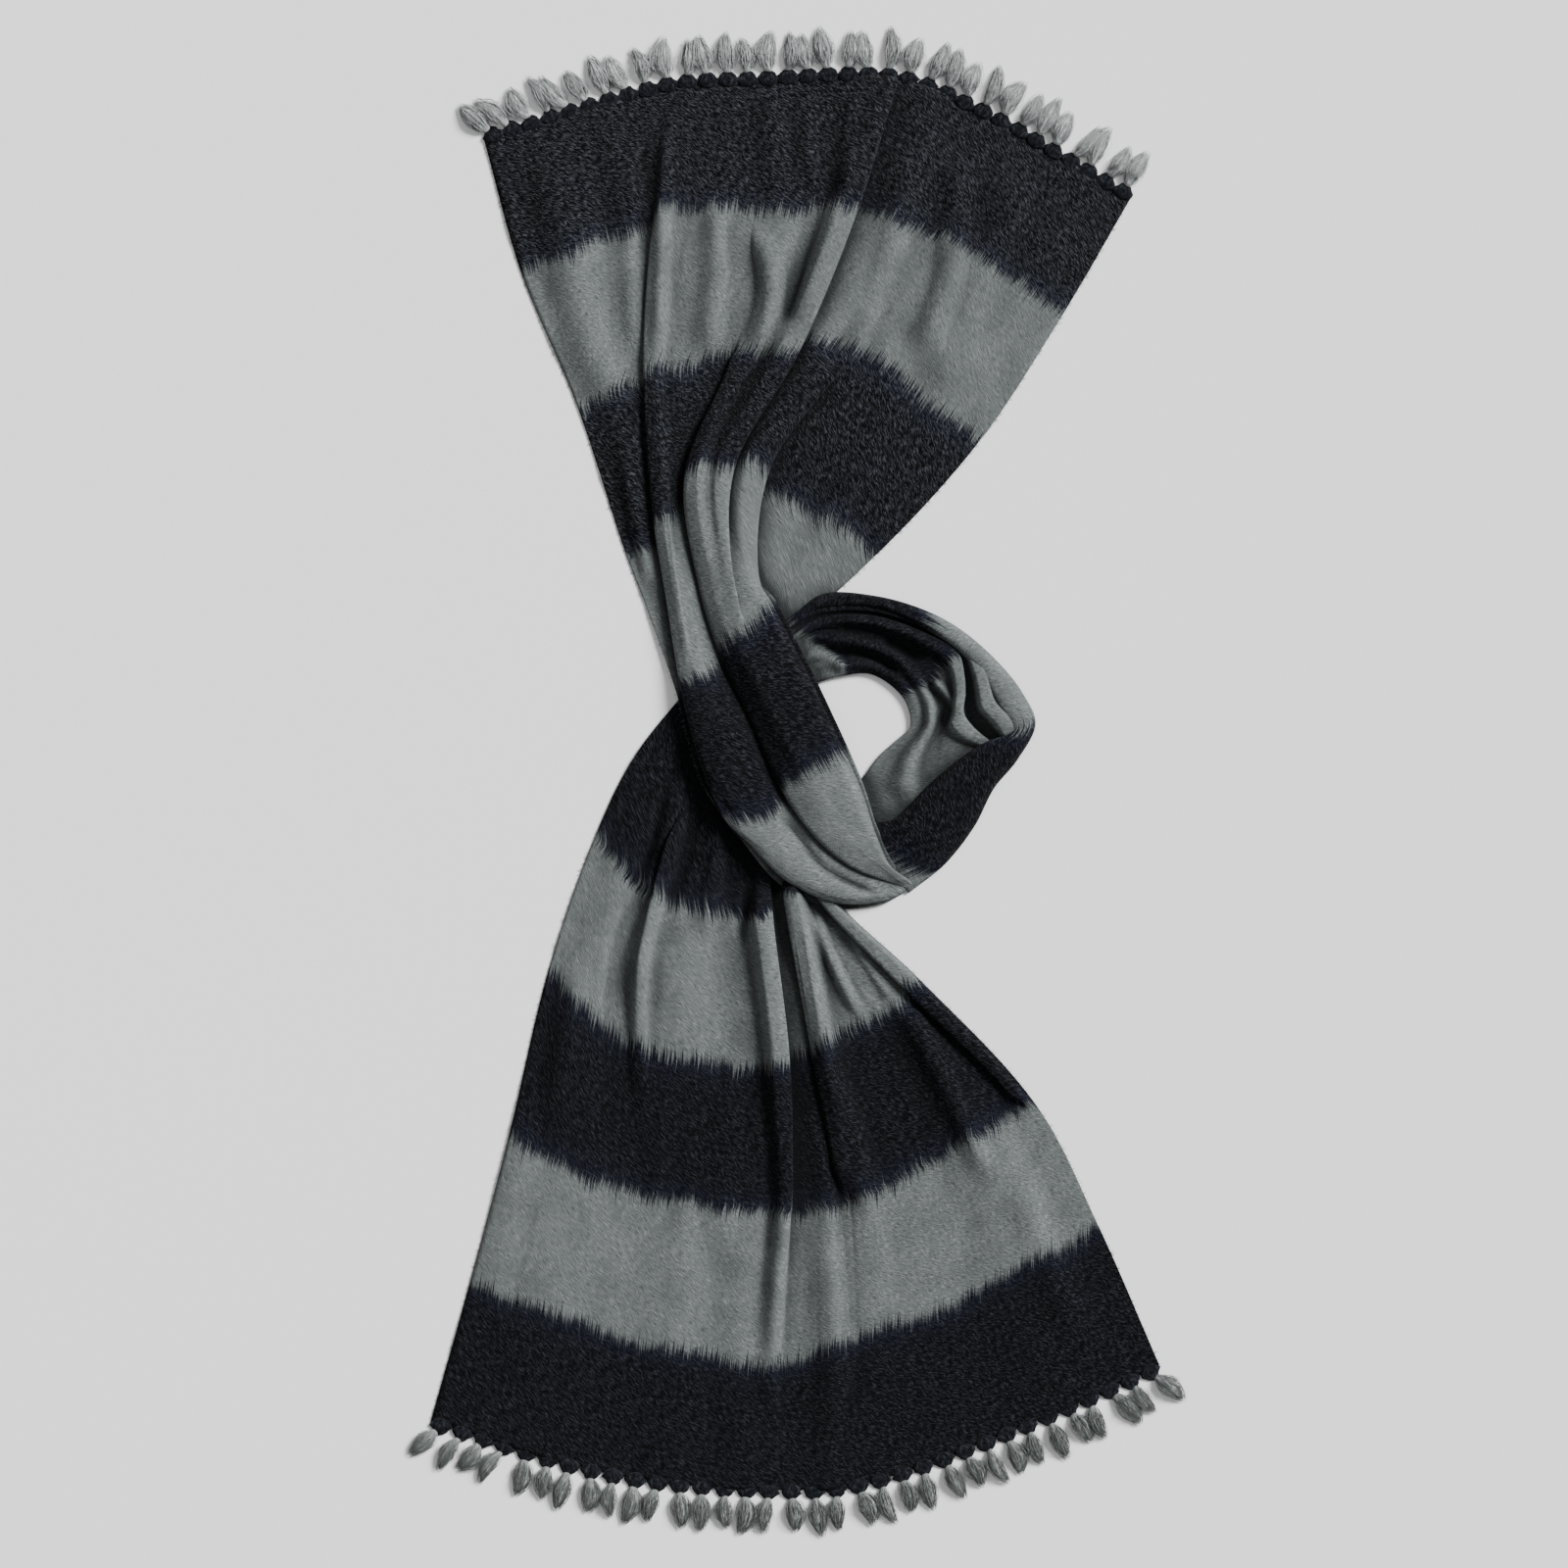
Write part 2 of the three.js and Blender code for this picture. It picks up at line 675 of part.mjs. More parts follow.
// A solid whose faces are moved out by the gap that a neighbour keeps from them.
function grown(geometry) {
  const plain = geometry.clone();
  plain.deleteAttribute("normal");
  const merged = mergeVertices(plain, 1e-4);
  const { position } = merged.attributes;
  const corners = [];
  for (let i = 0; i < position.count; i += 1) {
    corners.push(new THREE.Vector3().fromBufferAttribute(position, i));
  }
  const normals = corners.map(() => []);
  const list = merged.index.array;
  for (let i = 0; i < list.length; i += 3) {
    const [a, b, c] = [0, 1, 2].map((k) => corners[list[i + k]]);
    const out = new THREE.Vector3().crossVectors(b.clone().sub(a), c.clone().sub(a)).normalize();
    [0, 1, 2].forEach((k) => normals[list[i + k]].push(out));
  }
  corners.forEach((corner, i) => {
    const way = normals[i].reduce((sum, n) => sum.add(n), new THREE.Vector3()).normalize();
    const least = Math.min(...normals[i].map((n) => n.dot(way)));
    corner.clone().addScaledVector(way, SEAM_GAP / Math.max(least, 0.3)).toArray(position.array, 3 * i);
  });
  return solidOf(merged);
}

function clearOf(geometry, ...neighbours) {
  return geometryOf(neighbours.reduce((solid, other) => solid.subtract(grown(other)), solidOf(geometry)));
}

// A four-sided lock from a knot at root, out along heading, with its belly two thirds of the way.
function tasselLock(root, heading, length) {
  const side = new THREE.Vector3().crossVectors(heading, UP);
  const rings = [
    { out: -2, wide: 0.3, up: 0.45 },
    { out: 0.6 * length, wide: 1, up: 1 },
    { out: 0.88 * length, wide: 0.7, up: 0.75 },
  ];
  const vertices = [];
  rings.forEach(({ out, wide, up }) => {
    const middle = root.clone().addScaledVector(heading, out);
    middle.z = TASSEL.floorGap + (TASSEL.thick * up) / 2;
    vertices.push(
      middle.clone().addScaledVector(side, (-TASSEL.width * wide) / 2),
      middle.clone().addScaledVector(UP, (TASSEL.thick * up) / 2),
      middle.clone().addScaledVector(side, (TASSEL.width * wide) / 2),
      middle.clone().addScaledVector(UP, (-TASSEL.thick * up) / 2),
    );
  });
  const start = vertices.length;
  const foot = root.clone().addScaledVector(heading, rings[0].out);
  const tip = root.clone().addScaledVector(heading, length);
  foot.z = TASSEL.floorGap + TASSEL.thick * 0.22;
  tip.z = TASSEL.floorGap + TASSEL.thick * 0.3;
  vertices.push(foot, tip);
  const triangles = [];
  const last = 4 * (rings.length - 1);
  for (let k = 0; k < 4; k += 1) {
    const next = (k + 1) % 4;
    triangles.push(start, next, k);
    for (let n = 0; n < last; n += 4) quad(triangles, n + k, n + next, n + 4 + next, n + 4 + k);
    triangles.push(last + k, last + next, start + 1);
  }
  return bodyOf(vertices, triangles);
}

// A fringe: a narrow strip along the cloth's end, parted from it, with tassels growing out of it.
// outward is 1 for the upper end and -1 for the lower one.
function fringeOf(guides, t, outward, lean) {
  const edge = lineThrough(guidesAt(guides, t).map((g) => g.plan));
  const outAt = (f) => {
    const ahead = edge.atLength(Math.min(f + 0.02, 1));
    const way = ahead.sub(edge.atLength(Math.max(f - 0.02, 0))).normalize();
    return new THREE.Vector2(-way.y * outward, way.x * outward);
  };
  const rows = [];
  const bases = [];
  for (let i = 0; i <= FRINGE_STRIP.facets; i += 1) {
    const f = i / FRINGE_STRIP.facets;
    const start = edge.atLength(f).addScaledVector(outAt(f), SEAM_GAP);
    const end = start.clone().addScaledVector(outAt(f), FRINGE_STRIP.depth);
    const row = [start, end].map((p) => new THREE.Vector3(p.x, p.y, FRINGE_STRIP.height));
    rows.push(outward > 0 ? row : row.reverse());
    bases.push([0, 0]);
  }
  let fringe = solidOf(heapUnder(rows, bases));
  for (let n = 0; n < TASSEL.count; n += 1) {
    const f = (n + 0.5) / TASSEL.count;
    const leftward = lean.left * Math.max(1 - f / lean.reach, 0);
    const rightward = lean.right * Math.max(1 - (1 - f) / lean.reach, 0);
    const fan = leftward - rightward;
    const wobble = 0.16 * Math.sin(1.7 * n) + 0.1 * Math.sin(4.1 * n);
    const out = outAt(f).rotateAround(new THREE.Vector2(), fan * outward + wobble);
    const heading = new THREE.Vector3(out.x, out.y, 0);
    const place = edge.atLength(f).addScaledVector(outAt(f), FRINGE_STRIP.depth);
    const length = TASSEL.length * (0.92 + 0.08 * Math.sin(2.3 * n));
    fringe = fringe.add(solidOf(tasselLock(new THREE.Vector3(place.x, place.y, 0), heading, length)));
  }
  return geometryOf(fringe);
}

function node(name, geometry, material) {
  const mesh = new THREE.Mesh(geometry, material);
  mesh.name = name;
  return mesh;
}

const UPPER_COUNTS = [4, 3, 3, 6, 4, 5];
const LOWER_COUNTS = [4, 6, 2, 3, 5, 2];
const INNER_COUNTS = [3, 3, 3, 3, 2];

const strand = strandRows(24);
const rim = rimRows(32);
const inner = innerRows(24, INNER_COUNTS);
const pass = passRows(4);
const strandBody = heapUnder(strand.rows, strand.bases);
const rimBody = heapUnder(rim.rows, rim.bases);
const innerBody = heapUnder(inner.rows, inner.bases);
const passBody = heapUnder(pass.rows, pass.bases);

const upperPanel = wallRound(panelRows(UPPER_GUIDES, UPPER_RIDGES, UPPER_COUNTS, 15, 0, 0.995));
const lowerPanel = wallRound(panelRows(LOWER_GUIDES, LOWER_RIDGES, LOWER_COUNTS, 18, 0, 1));
const loopOuter = clearOf(rimBody, upperPanel);
const loopInner = clearOf(innerBody, upperPanel, rimBody);
const underPass = clearOf(passBody, rimBody, innerBody, lowerPanel);
const crossingStrand = clearOf(strandBody, upperPanel, lowerPanel, rimBody, innerBody, passBody);
const upperFringe = clearOf(fringeOf(UPPER_GUIDES, 0, 1, UPPER_LEAN), upperPanel);
const lowerFringe = clearOf(fringeOf(LOWER_GUIDES, 1, -1, LOWER_LEAN), lowerPanel);

const scarf = new THREE.Group();
scarf.add(node("upper_panel", upperPanel, CLOTH_BLACK));
scarf.add(node("crossing_strand", crossingStrand, CLOTH_GREY));
scarf.add(node("loop_outer", loopOuter, CLOTH_BLACK));
scarf.add(node("loop_inner", loopInner, CLOTH_GREY));
scarf.add(node("under_pass", underPass, CLOTH_BLACK));
scarf.add(node("lower_panel", lowerPanel, CLOTH_BLACK));
scarf.add(node("upper_fringe", upperFringe, CLOTH_GREY));
scarf.add(node("lower_fringe", lowerFringe, CLOTH_GREY));

const middle = new THREE.Box3().setFromObject(scarf).getCenter(new THREE.Vector3());
scarf.position.set(-middle.x, -middle.y, 0);

export default scarf;
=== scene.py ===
import math

import bpy
import numpy as np
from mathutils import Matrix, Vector, noise


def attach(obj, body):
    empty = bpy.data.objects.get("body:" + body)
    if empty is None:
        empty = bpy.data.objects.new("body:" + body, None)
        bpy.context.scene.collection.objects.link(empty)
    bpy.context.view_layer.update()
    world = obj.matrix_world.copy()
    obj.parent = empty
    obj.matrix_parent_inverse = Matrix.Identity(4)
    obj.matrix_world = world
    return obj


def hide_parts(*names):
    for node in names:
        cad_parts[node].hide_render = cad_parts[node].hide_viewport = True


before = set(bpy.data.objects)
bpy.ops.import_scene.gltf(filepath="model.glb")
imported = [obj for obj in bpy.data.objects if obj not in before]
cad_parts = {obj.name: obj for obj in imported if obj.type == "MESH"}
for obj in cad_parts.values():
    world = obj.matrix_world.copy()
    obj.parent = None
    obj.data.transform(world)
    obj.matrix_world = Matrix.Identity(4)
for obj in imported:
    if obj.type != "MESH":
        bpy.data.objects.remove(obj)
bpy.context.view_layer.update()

MM = 0.001
# The tables are in millimetres about the crossing; the part is centred on its own footprint.
SHIFT = np.array([-4.35, 0.99, 0.0])
WALL = 1.2  # thickness of the cloth
BAND = 133.3  # length of one dyed band
CUT = 2000.0  # length of the whole cut
ARC = 5  # steps in each half turn of a pleat
WRAP_STEP = 0.8  # the length of a step of the layer that runs on under a bundle
MOST_HIDDEN = 0.45  # the largest share of a gap that a pleat's hidden layers may fill
ROUND_DOWN = 1.6  # powers that round the cloth's fall from a crest and its rise to one
ROUND_UP = 2
CREASE_END = 0.2  # the share of a crease over which it fades at each end
NONE = (0, 0)  # a value that stays at 0 along the whole of a guide
rng = np.random.default_rng(7)  # for the hairs


# Guides of the upper run, from the fringe to the turn of the loop. Its rows are at these
# distances along the cloth: the fringed end, three dye edges, the waist, the fourth dye edge, the
# crossing, the fifth dye edge, three places down to the turn, the tip and its underside.
UPPER_V = [0, 133.3, 266.7, 400, 470, 533.3, 600, 666.7, 704, 735, 765, 788, 792]
UPPER = [
    dict(
        # left selvedge
        plan=[(-288, 603), (-253, 478), (-201, 354), (-154, 212), (-137, 168), (-108, 86), (-94, 34),
              (-80, -7), (-47, -53), (-10, -96), (38, -118), (84, -115), (104, -105)],
        lift=[0, 0, 0, 0, 0, 5, 9, 9, 8, 7, 3, 1.5, 0.5],
    ),
    dict(
        # first fold
        over="right",
        plan=[(-119, 652), (-129, 542), (-138, 388), (-128, 243), (-117, 175), (-103, 90), (-89, 33),
              (-64, -31), (-39, -57), (-4, -92), (44, -113), (87, -111), (106, -103)],
        lift=[0, 0, 0, 0, 0, 5.5, 9.5, 9.5, 8.5, 7.5, 3.5, 2, 0.8],
        top=[1.0, 1.2, 1.8, 3.0, 3.0, 3.6, 4.2, 4.2, 4.2, 4, 3.4, 1.6, 0.4],
        low=[1.0, 0.9, 0.9, 1.2, 1.4, 1, 1, 1, 1, 1, 1, 0.5, 0.3],
        tuck=[-1, -0.9, 2, 8, 8, 3, 3, 3, 3, 3, 2, 1, 1],
        slip=[0, 26, 14, 34, 5, 4, 4, 20, 8, 3, 2, 0, 0],
    ),
    dict(
        # crest of the first ridge
        plan=[(-78, 657), (-88, 538), (-108, 386), (-113, 252), (-105, 181), (-88, 99), (-68, 46),
              (-38, -36), (-14, -64), (14, -90), (50, -106), (90, -105), (108, -101)],
        lift=[0, 0, 1, 5, 13, 19, 22, 22, 21, 19, 15, 8, 2],
    ),
    dict(
        # second ridge's edge
        over="right",
        plan=[(-40, 658), (-38, 535), (-54, 404), (-99, 288), (-87, 188), (-68, 124), (-37, 58),
              (-8, -8), (10, -36), (33, -62), (62, -82), (94, -94), (110, -99)],
        lift=[0, 0, 0, 0, 0.5, 3, 7, 8, 8, 7, 6, 4, 1],
        top=[1.0, 1.0, 1.6, 4.2, 4.6, 4.6, 4.4, 4.4, 4.2, 3.8, 2.8, 1.2, 0.4],
        low=[1.0, 1.0, 1.2, 1.6, 1.4, 1, 1, 1, 1, 1, 0.8, 0.4, 0.3],
        tuck=[-1, -1, -0.5, 6, 4, 3, 3, 3, 3, 2, 1, 0.5, 0.5],
        slip=[0, 0, 0, 36, 10, 18, 6, 10, 4, 2, 0, 0, 0],
    ),
    dict(
        # second fold
        over="left",
        plan=[(101, 660), (62, 535), (8, 404), (-52, 297), (-57, 216), (-42, 146), (-10, 78),
              (20, 10), (40, -26), (60, -54), (84, -76), (104, -91), (112, -97)],
        lift=[0, 0, 0, 3, 13, 22, 25, 24, 22, 19, 15, 9, 2],
        top=[2.0, 3.4, 4.2, 4.2, 2, 0.5, 0.5, 0.5, 0.5, 0.5, 0.5, 0.5, 0.3],
        low=[1.0, 1.3, 1.5, 1.5, 1, 0.5, 0.5, 0.5, 0.5, 0.5, 0.5, 0.5, 0.3],
        tuck=[2, 8, 10, 8, 1, -1, -1, -1, -1, -1, -1, -1, -1],
        slip=[0, 0, -13, -4, 0, 0, 0, 0, 0, 0, 0, 0, 0],
    ),
    dict(
        # third fold and the strand's right side
        over="left",
        plan=[(168, 634), (140, 512), (60, 402), (-19, 295), (-31, 198), (-20, 163), (15, 90),
              (46, 24), (64, -15), (76, -50), (90, -80), (108, -92), (114, -96)],
        lift=[0, 0, 0, 0, 1.5, 5, 9, 8, 7, 6, 5, 3, 1],
        top=[1.0, 1.0, 1.2, 3.4, 4.0, 5, 5.4, 5.4, 5.0, 4.2, 3.2, 1.5, 0.4],
        low=[1.0, 1.0, 1.0, 1.4, 1, 0.8, 0.8, 0.8, 0.8, 0.8, 0.8, 0.5, 0.3],
        tuck=[-1, -1, -0.85, 3, 5, 7, 8, 8, 8, 7, 5, 2, 1],
        wrap=[0, 0, 0, 0, 0.1, 1, 1, 1, 1, 1, 1, 1, 1],
        slip=[0, 0, 0, 24, 8, 0, 0, 0, 0, 0, 0, 0, 0],
    ),
    dict(
        # right selvedge, tucked under the strand past the waist
        plan=[(319, 548), (256, 440), (178, 321), (81, 214), (-6, 141), (-50, 128), (-18, 72),
              (12, 4), (34, -36), (54, -64), (74, -82), (100, -93), (108, -97)],
        lift=[0, 0, 0, 0, 0, 4, 8, 7, 6, 5, 4, 2.5, 0.8],
    ),
]
UPPER_GATHERED = [0, 0, 0, 0.1, 0.7, 1, 1, 1, 1, 1, 1, 1, 1]
UPPER_GAPS = [26, 12, 12, 24, 16, 30]
UPPER_RIDGES = [
    dict(gap=0, at=0.5, width=0.4, height=[2, 4, 5, 3, 0, 0, 0, 0, 0, 0, 0, 0, 0]),
    dict(gap=1, at=0.4, width=0.4, height=[1, 1.5, 2, 2, 0, 0, 0, 0, 0, 0, 0, 0, 0]),
    dict(gap=3, at=0.3, width=0.3, height=[1, 3, 6, 3, 0, 0, 0, 0, 0, 0, 0, 0, 0]),
    dict(gap=3, at=0.8, width=0.2, height=[2, 4, 5, 3, 0, 0, 0, 0, 0, 0, 0, 0, 0]),
    dict(gap=4, at=0.55, width=0.45, height=[4, 9, 11, 8, 2, 0, 0, 0, 0, 0, 0, 0, 0]),
    dict(gap=5, at=0.3, width=0.25, height=[1.5, 3, 4, 3, 0, 0, 0, 0, 0, 0, 0, 0, 0]),
    dict(gap=5, at=0.72, width=0.22, height=[2, 3, 3, 1, 0, 0, 0, 0, 0, 0, 0, 0, 0]),
]

LOWER_V = [1335, 1395, 1466.7, 1600, 1733.3, 1866.7, 2000]
LOWER = [
    dict(
        # left selvedge
        plan=[(-90, 96), (-148, 22), (-185, -54), (-227, -175), (-266, -338), (-301, -469), (-338, -600)],
        lift=[3, 1, 0, 0, 0, 0, 0],
    ),
    dict(
        # first fold
        over="right",
        plan=[(-78, 42), (-99, -6), (-130, -105), (-155, -242), (-152, -385), (-160, -520), (-166, -650)],
        lift=[0, 0, 0, 0, 0, 0, 0],
        top=[1.2, 1.8, 2.4, 1.4, 1, 1, 1],
        low=[1.2, 1.4, 1.4, 1.2, 1, 1, 1],
        tuck=[-1, -1, 0.5, -1, -1, -1, -1],
        slip=[0, 0, 2, 0, 0, 0, 0],
    ),
    dict(
        # second fold
        over="left",
        plan=[(-14, -60), (-19, -92), (-17, -127), (-1, -265), (1, -404), (-5, -546), (-12, -664)],
        lift=[0, 0, 0, 0, 0, 0, 0],
        top=[1.0, 1.6, 4.4, 4.4, 3.6, 2.0, 1],
        low=[1.0, 1.2, 1.8, 1.8, 1.8, 1.4, 1],
        tuck=[3, 6, 10, 8, -0.3, -0.8, -1],
        slip=[0, 0, -16, -8, 0, 0, 0],
    ),
    dict(
        # third fold
        over="right",
        plan=[(-2, -66), (-8, -90), (-7, -104), (19, -250), (46, -397), (55, -524), (52, -661)],
        lift=[0, 0, 0, 0, 0, 0, 0],
        top=[1.0, 1.6, 4.6, 3.8, 2.0, 1.2, 1],
        low=[1.0, 1.2, 2.0, 1.8, 1.2, 1, 1],
        tuck=[3, 4, 4, 2, -1, -1, -1],
        slip=[0, 0, 2, 6, 0, 0, 0],
    ),
    dict(
        # foot of the third ridge
        plan=[(12, -72), (8, -92), (14, -108), (64, -228), (112, -369), (130, -498), (136, -637)],
        lift=[2, 1, 1, 0, 0, 0, 0],
    ),
    dict(
        # turned edge
        over="right",
        plan=[(24, -80), (20, -92), (24, -107), (106, -194), (218, -309), (278, -424), (335, -553)],
        lift=[0, 0, 0, 0, 0, 0, 0],
        top=[1.2, 1.8, 3.2, 2.6, 1.2, 1, 1],
        low=[1.2, 1.4, 1.6, 1.4, 1, 1, 1],
        tuck=[2, 4, 6, 5, -1, -1, -1],
        slip=[0, 0, 0, 12, 0, 0, 0],
    ),
    dict(
        # right selvedge
        plan=[(42, -90), (41, -98), (45, -113), (119, -184), (231, -304), (289, -417), (346, -547)],
        lift=[2, 1, 0, 0, 0, 0, 0],
    ),
]
LOWER_GAPS = [28, 36, 6, 16, 28, 8]
LOWER_RIDGES = [
    dict(gap=0, at=0.5, width=0.4, height=[2, 3, 5, 5, 4, 3, 2]),
    dict(gap=1, at=0.3, width=0.3, height=[1, 3, 5, 5, 4, 3, 2]),
    dict(gap=1, at=0.75, width=0.22, height=[1, 2, 3, 4, 4, 3, 2]),
    dict(gap=2, at=0.8, width=0.6, height=[0, 0, 1, 3, 7, 7, 3]),
    dict(gap=3, at=0.3, width=0.4, height=[1, 3, 7, 6, 3, 1, 0]),
    dict(gap=4, at=0.55, width=0.35, height=[0, 0, 0, 4, 6, 4, 2]),
]

# Soft ridges and troughs laid over the panels: the line, how far it spreads and how high it is.
UPPER_CREASES = [
    ([(37, 657), (36, 610), (38, 540)], 10, -3.0),
    ([(58, 655), (54, 600), (52, 545)], 11, 3.5),
    ([(2, 660), (1, 610), (3, 555)], 9, -2.5),
    ([(18, 650), (17, 600), (22, 550)], 10, 3.0),
    ([(-20, 650), (-20, 600), (-20, 545)], 14, 3.0),
    ([(30, 560), (17, 515), (8, 485), (3, 455), (1, 430), (-6, 395)], 12, -6.0),
    ([(50, 540), (36, 500), (24, 460), (12, 415)], 12, 5.0),
    ([(-114, 640), (-120, 545), (-121, 480), (-124, 390)], 13, 7.0),
    ([(-70, 560), (-70, 480), (-80, 395)], 19, 8.0),
    ([(-97, 540), (-98, 470), (-104, 400)], 10, -2.5),
    ([(-58, 535), (-46, 497), (-38, 462), (-44, 430), (-62, 392)], 19, -5.0),
    ([(-34, 525), (-20, 482), (-20, 445), (-34, 400)], 19, 7.0),
    ([(112, 600), (92, 495), (60, 405), (30, 345)], 18, 5.0),
    ([(126, 530), (122, 465), (104, 400)], 18, -4.0),
    ([(158, 600), (150, 480), (118, 380)], 22, 7.0),
    ([(-236, 600), (-207, 470), (-178, 350)], 28, 6.0),
    ([(-186, 610), (-172, 500), (-160, 390)], 16, -3.0),
    ([(-152, 600), (-150, 500), (-146, 390)], 13, 3.5),
    ([(222, 590), (184, 470), (126, 350)], 26, 6.0),
    ([(120, 375), (60, 290), (16, 220)], 20, 4.0),
    ([(-158, 330), (-148, 250), (-132, 180)], 10, 3.0),
    ([(-14, -25), (9, -53), (27, -77), (59, -97), (84, -106)], 6, -5.0),
    ([(-60, 150), (-36, 100), (-4, 40), (24, -10)], 12, 1.5),
    ([(-100, 40), (-72, -8), (-50, -36)], 5, -2.5),
]
LOWER_CREASES = [
    ([(-104, 10), (-115, -40), (-126, -80), (-142, -118)], 12, 8.0),
    ([(-86, 14), (-92, -30), (-98, -60), (-107, -95), (-122, -132)], 12, -6.0),
    ([(-124, -96), (-140, -160), (-142, -230), (-140, -320)], 14, 6.0),
    ([(-146, -110), (-164, -165), (-168, -240), (-168, -330)], 13, -5.0),
    ([(-66, -30), (-72, -84), (-84, -150)], 14, 5.0),
    ([(-38, -50), (-40, -100), (-46, -160)], 10, -4.0),
    ([(-28, -110), (-22, -180), (-18, -260), (-16, -350)], 12, 4.0),
    ([(20, -116), (32, -152), (48, -188), (68, -226)], 9, 6.0),
    ([(6, -120), (10, -170), (18, -230), (26, -280)], 7, -4.0),
    ([(44, -135), (64, -175), (92, -215)], 9, -4.0),
    ([(100, -195), (146, -285), (190, -380)], 17, 6.0),
    ([(62, -235), (90, -300), (108, -380)], 17, -4.0),
    ([(36, -260), (58, -330), (72, -410)], 14, 4.5),
    ([(-60, -270), (-62, -360), (-66, -460)], 24, 4.0),
    ([(-100, -260), (-108, -350), (-118, -450)], 20, -3.0),
    ([(-240, -290), (-262, -400), (-286, -510)], 26, 4.0),
    ([(-200, -150), (-212, -240), (-226, -340)], 20, 4.5),
    ([(30, -420), (40, -500), (44, -580)], 22, 4.0),
    ([(-14, -430), (-20, -520), (-26, -600)], 14, 3.5),
    ([(210, -370), (246, -460), (276, -540)], 24, 3.5),
]

# Sections of the loop's outer stretch, from the turn round to where it goes under the strand.
RIM = [
    dict(v=816, skew=-34, inner=(60, -38), outer=(110, -104), high=6),
    dict(v=838, skew=-26, inner=(97, -34), outer=(146, -75), high=12),
    dict(v=862, skew=-4, inner=(128, -5), outer=(172, -41), high=13),
    dict(v=888, skew=0, inner=(152, 16), outer=(190, -6), high=13),
    dict(v=912, skew=0, inner=(178, 35), outer=(212, 21), high=13),
    dict(v=935, skew=0, inner=(206, 49), outer=(229, 55), high=14),
    dict(v=960, skew=0, inner=(196, 66), outer=(217, 83), high=14),
    dict(v=992, skew=0, inner=(180, 96), outer=(197, 109), high=14),
    dict(v=1045, skew=0, inner=(156, 124), outer=(160, 142), high=14),
    dict(v=1075, skew=0, inner=(120, 147), outer=(125, 161), high=13),
    dict(v=1118, skew=0, inner=(78, 164), outer=(80, 174), high=12),
    dict(v=1163, skew=0, inner=(34, 163), outer=(30, 176), high=11),
    dict(v=1195, skew=0, inner=(8, 155), outer=(6, 159), high=8),
    dict(v=1225, skew=0, inner=(-12, 137), outer=(-16, 142), high=3),
]

# Guides of the loop's inner stretch, from the hole outwards: v is each one's own distance along.
INNER = [
    dict(
        # edge of the hole
        plan=[(88, -50), (62, -8), (72, 10), (84, 26), (102, 42), (112, 52),
              (106, 78), (76, 101), (45, 99), (16, 90), (-16, 74)],
        lift=[1, 1.5, 2, 2, 2.5, 3, 3, 3, 3, 3, 3],
        v=[945, 982, 1002, 1018, 1036, 1048, 1067, 1140, 1215, 1245, 1262],
    ),
    dict(
        # groove beside the second fold
        plan=[(134, -8), (126, 3), (124, 17), (128, 33), (135, 48), (138, 62),
              (131, 92), (98, 126), (62, 141), (20, 142), (-15, 112)],
        lift=[1, 1.5, 2, 2.5, 2.5, 2.5, 4, 5, 5, 5, 5],
        v=[942, 960, 975, 990, 1008, 1026, 1067, 1112, 1150, 1188, 1240],
    ),
    dict(
        # edge of the second fold
        over="left",
        plan=[(197, 32), (185, 39.5), (170, 52), (161.5, 65), (163, 82.5), (162, 100),
              (156, 121), (124, 140), (72, 156), (20, 150), (-16, 124)],
        lift=[0.3, 1, 1.5, 2, 2, 2, 2, 3, 4, 4, 4],
        top=[1, 2, 3, 3.4, 3.4, 3.2, 2.8, 1.8, 1.4, 1.2, 1],
        low=[0.5, 1.2, 1.6, 1.8, 1.8, 1.8, 1.5, 1.2, 1, 1, 1],
        tuck=[1, 5, 7, 7, 6, 6, 5, 4, 3, 2, 1],
        v=[940, 952, 968, 984, 1006, 1028, 1066, 1104, 1145, 1190, 1225],
    ),
    dict(
        # hollow beside the second fold
        plan=[(201, 35), (192, 42), (179, 54), (171, 67), (170, 84), (167.5, 101),
              (161, 122), (127, 143), (74, 160), (18, 154), (-16, 130)],
        lift=[0.5, 1, 1.5, 1.5, 2, 2.5, 3, 4, 5, 5, 5],
        v=[940, 950, 964, 980, 1002, 1024, 1058, 1098, 1142, 1186, 1220],
    ),
    dict(
        # edge of the third fold
        over="left",
        plan=[(210, 37), (209, 50), (204.5, 59.5), (191, 75), (185, 92), (181, 105),
              (168, 121), (130, 146), (76, 164), (16, 160), (-16, 136)],
        lift=[1, 4, 6, 6.5, 6.5, 6, 4, 4, 5, 5, 4],
        top=[0.8, 2.6, 3.2, 3.2, 2.8, 2.4, 1.6, 1, 0.8, 0.6, 0.6],
        low=[0.4, 1.2, 1.4, 1.4, 1.4, 1.2, 1, 0.8, 0.6, 0.5, 0.5],
        tuck=[1, 4, 5, 5, 4, 3, 2, 1, 1, 0.5, 0.5],
        v=[940, 948, 960, 976, 998, 1018, 1050, 1086, 1135, 1184, 1218],
    ),
    dict(
        # under the rim's inner edge
        plan=[(220, 48), (216, 56), (211, 66), (199, 82), (192, 97), (187, 109),
              (174, 121), (136, 148), (78, 169), (14, 164), (-16, 140)],
        lift=[0.5, 1.5, 1.5, 2, 2, 2, 2, 3, 4, 4, 4],
        v=[940, 948, 960, 976, 998, 1018, 1050, 1086, 1135, 1184, 1218],
    ),
]
INNER_GAPS = [18, 18, 6, 10, 8]
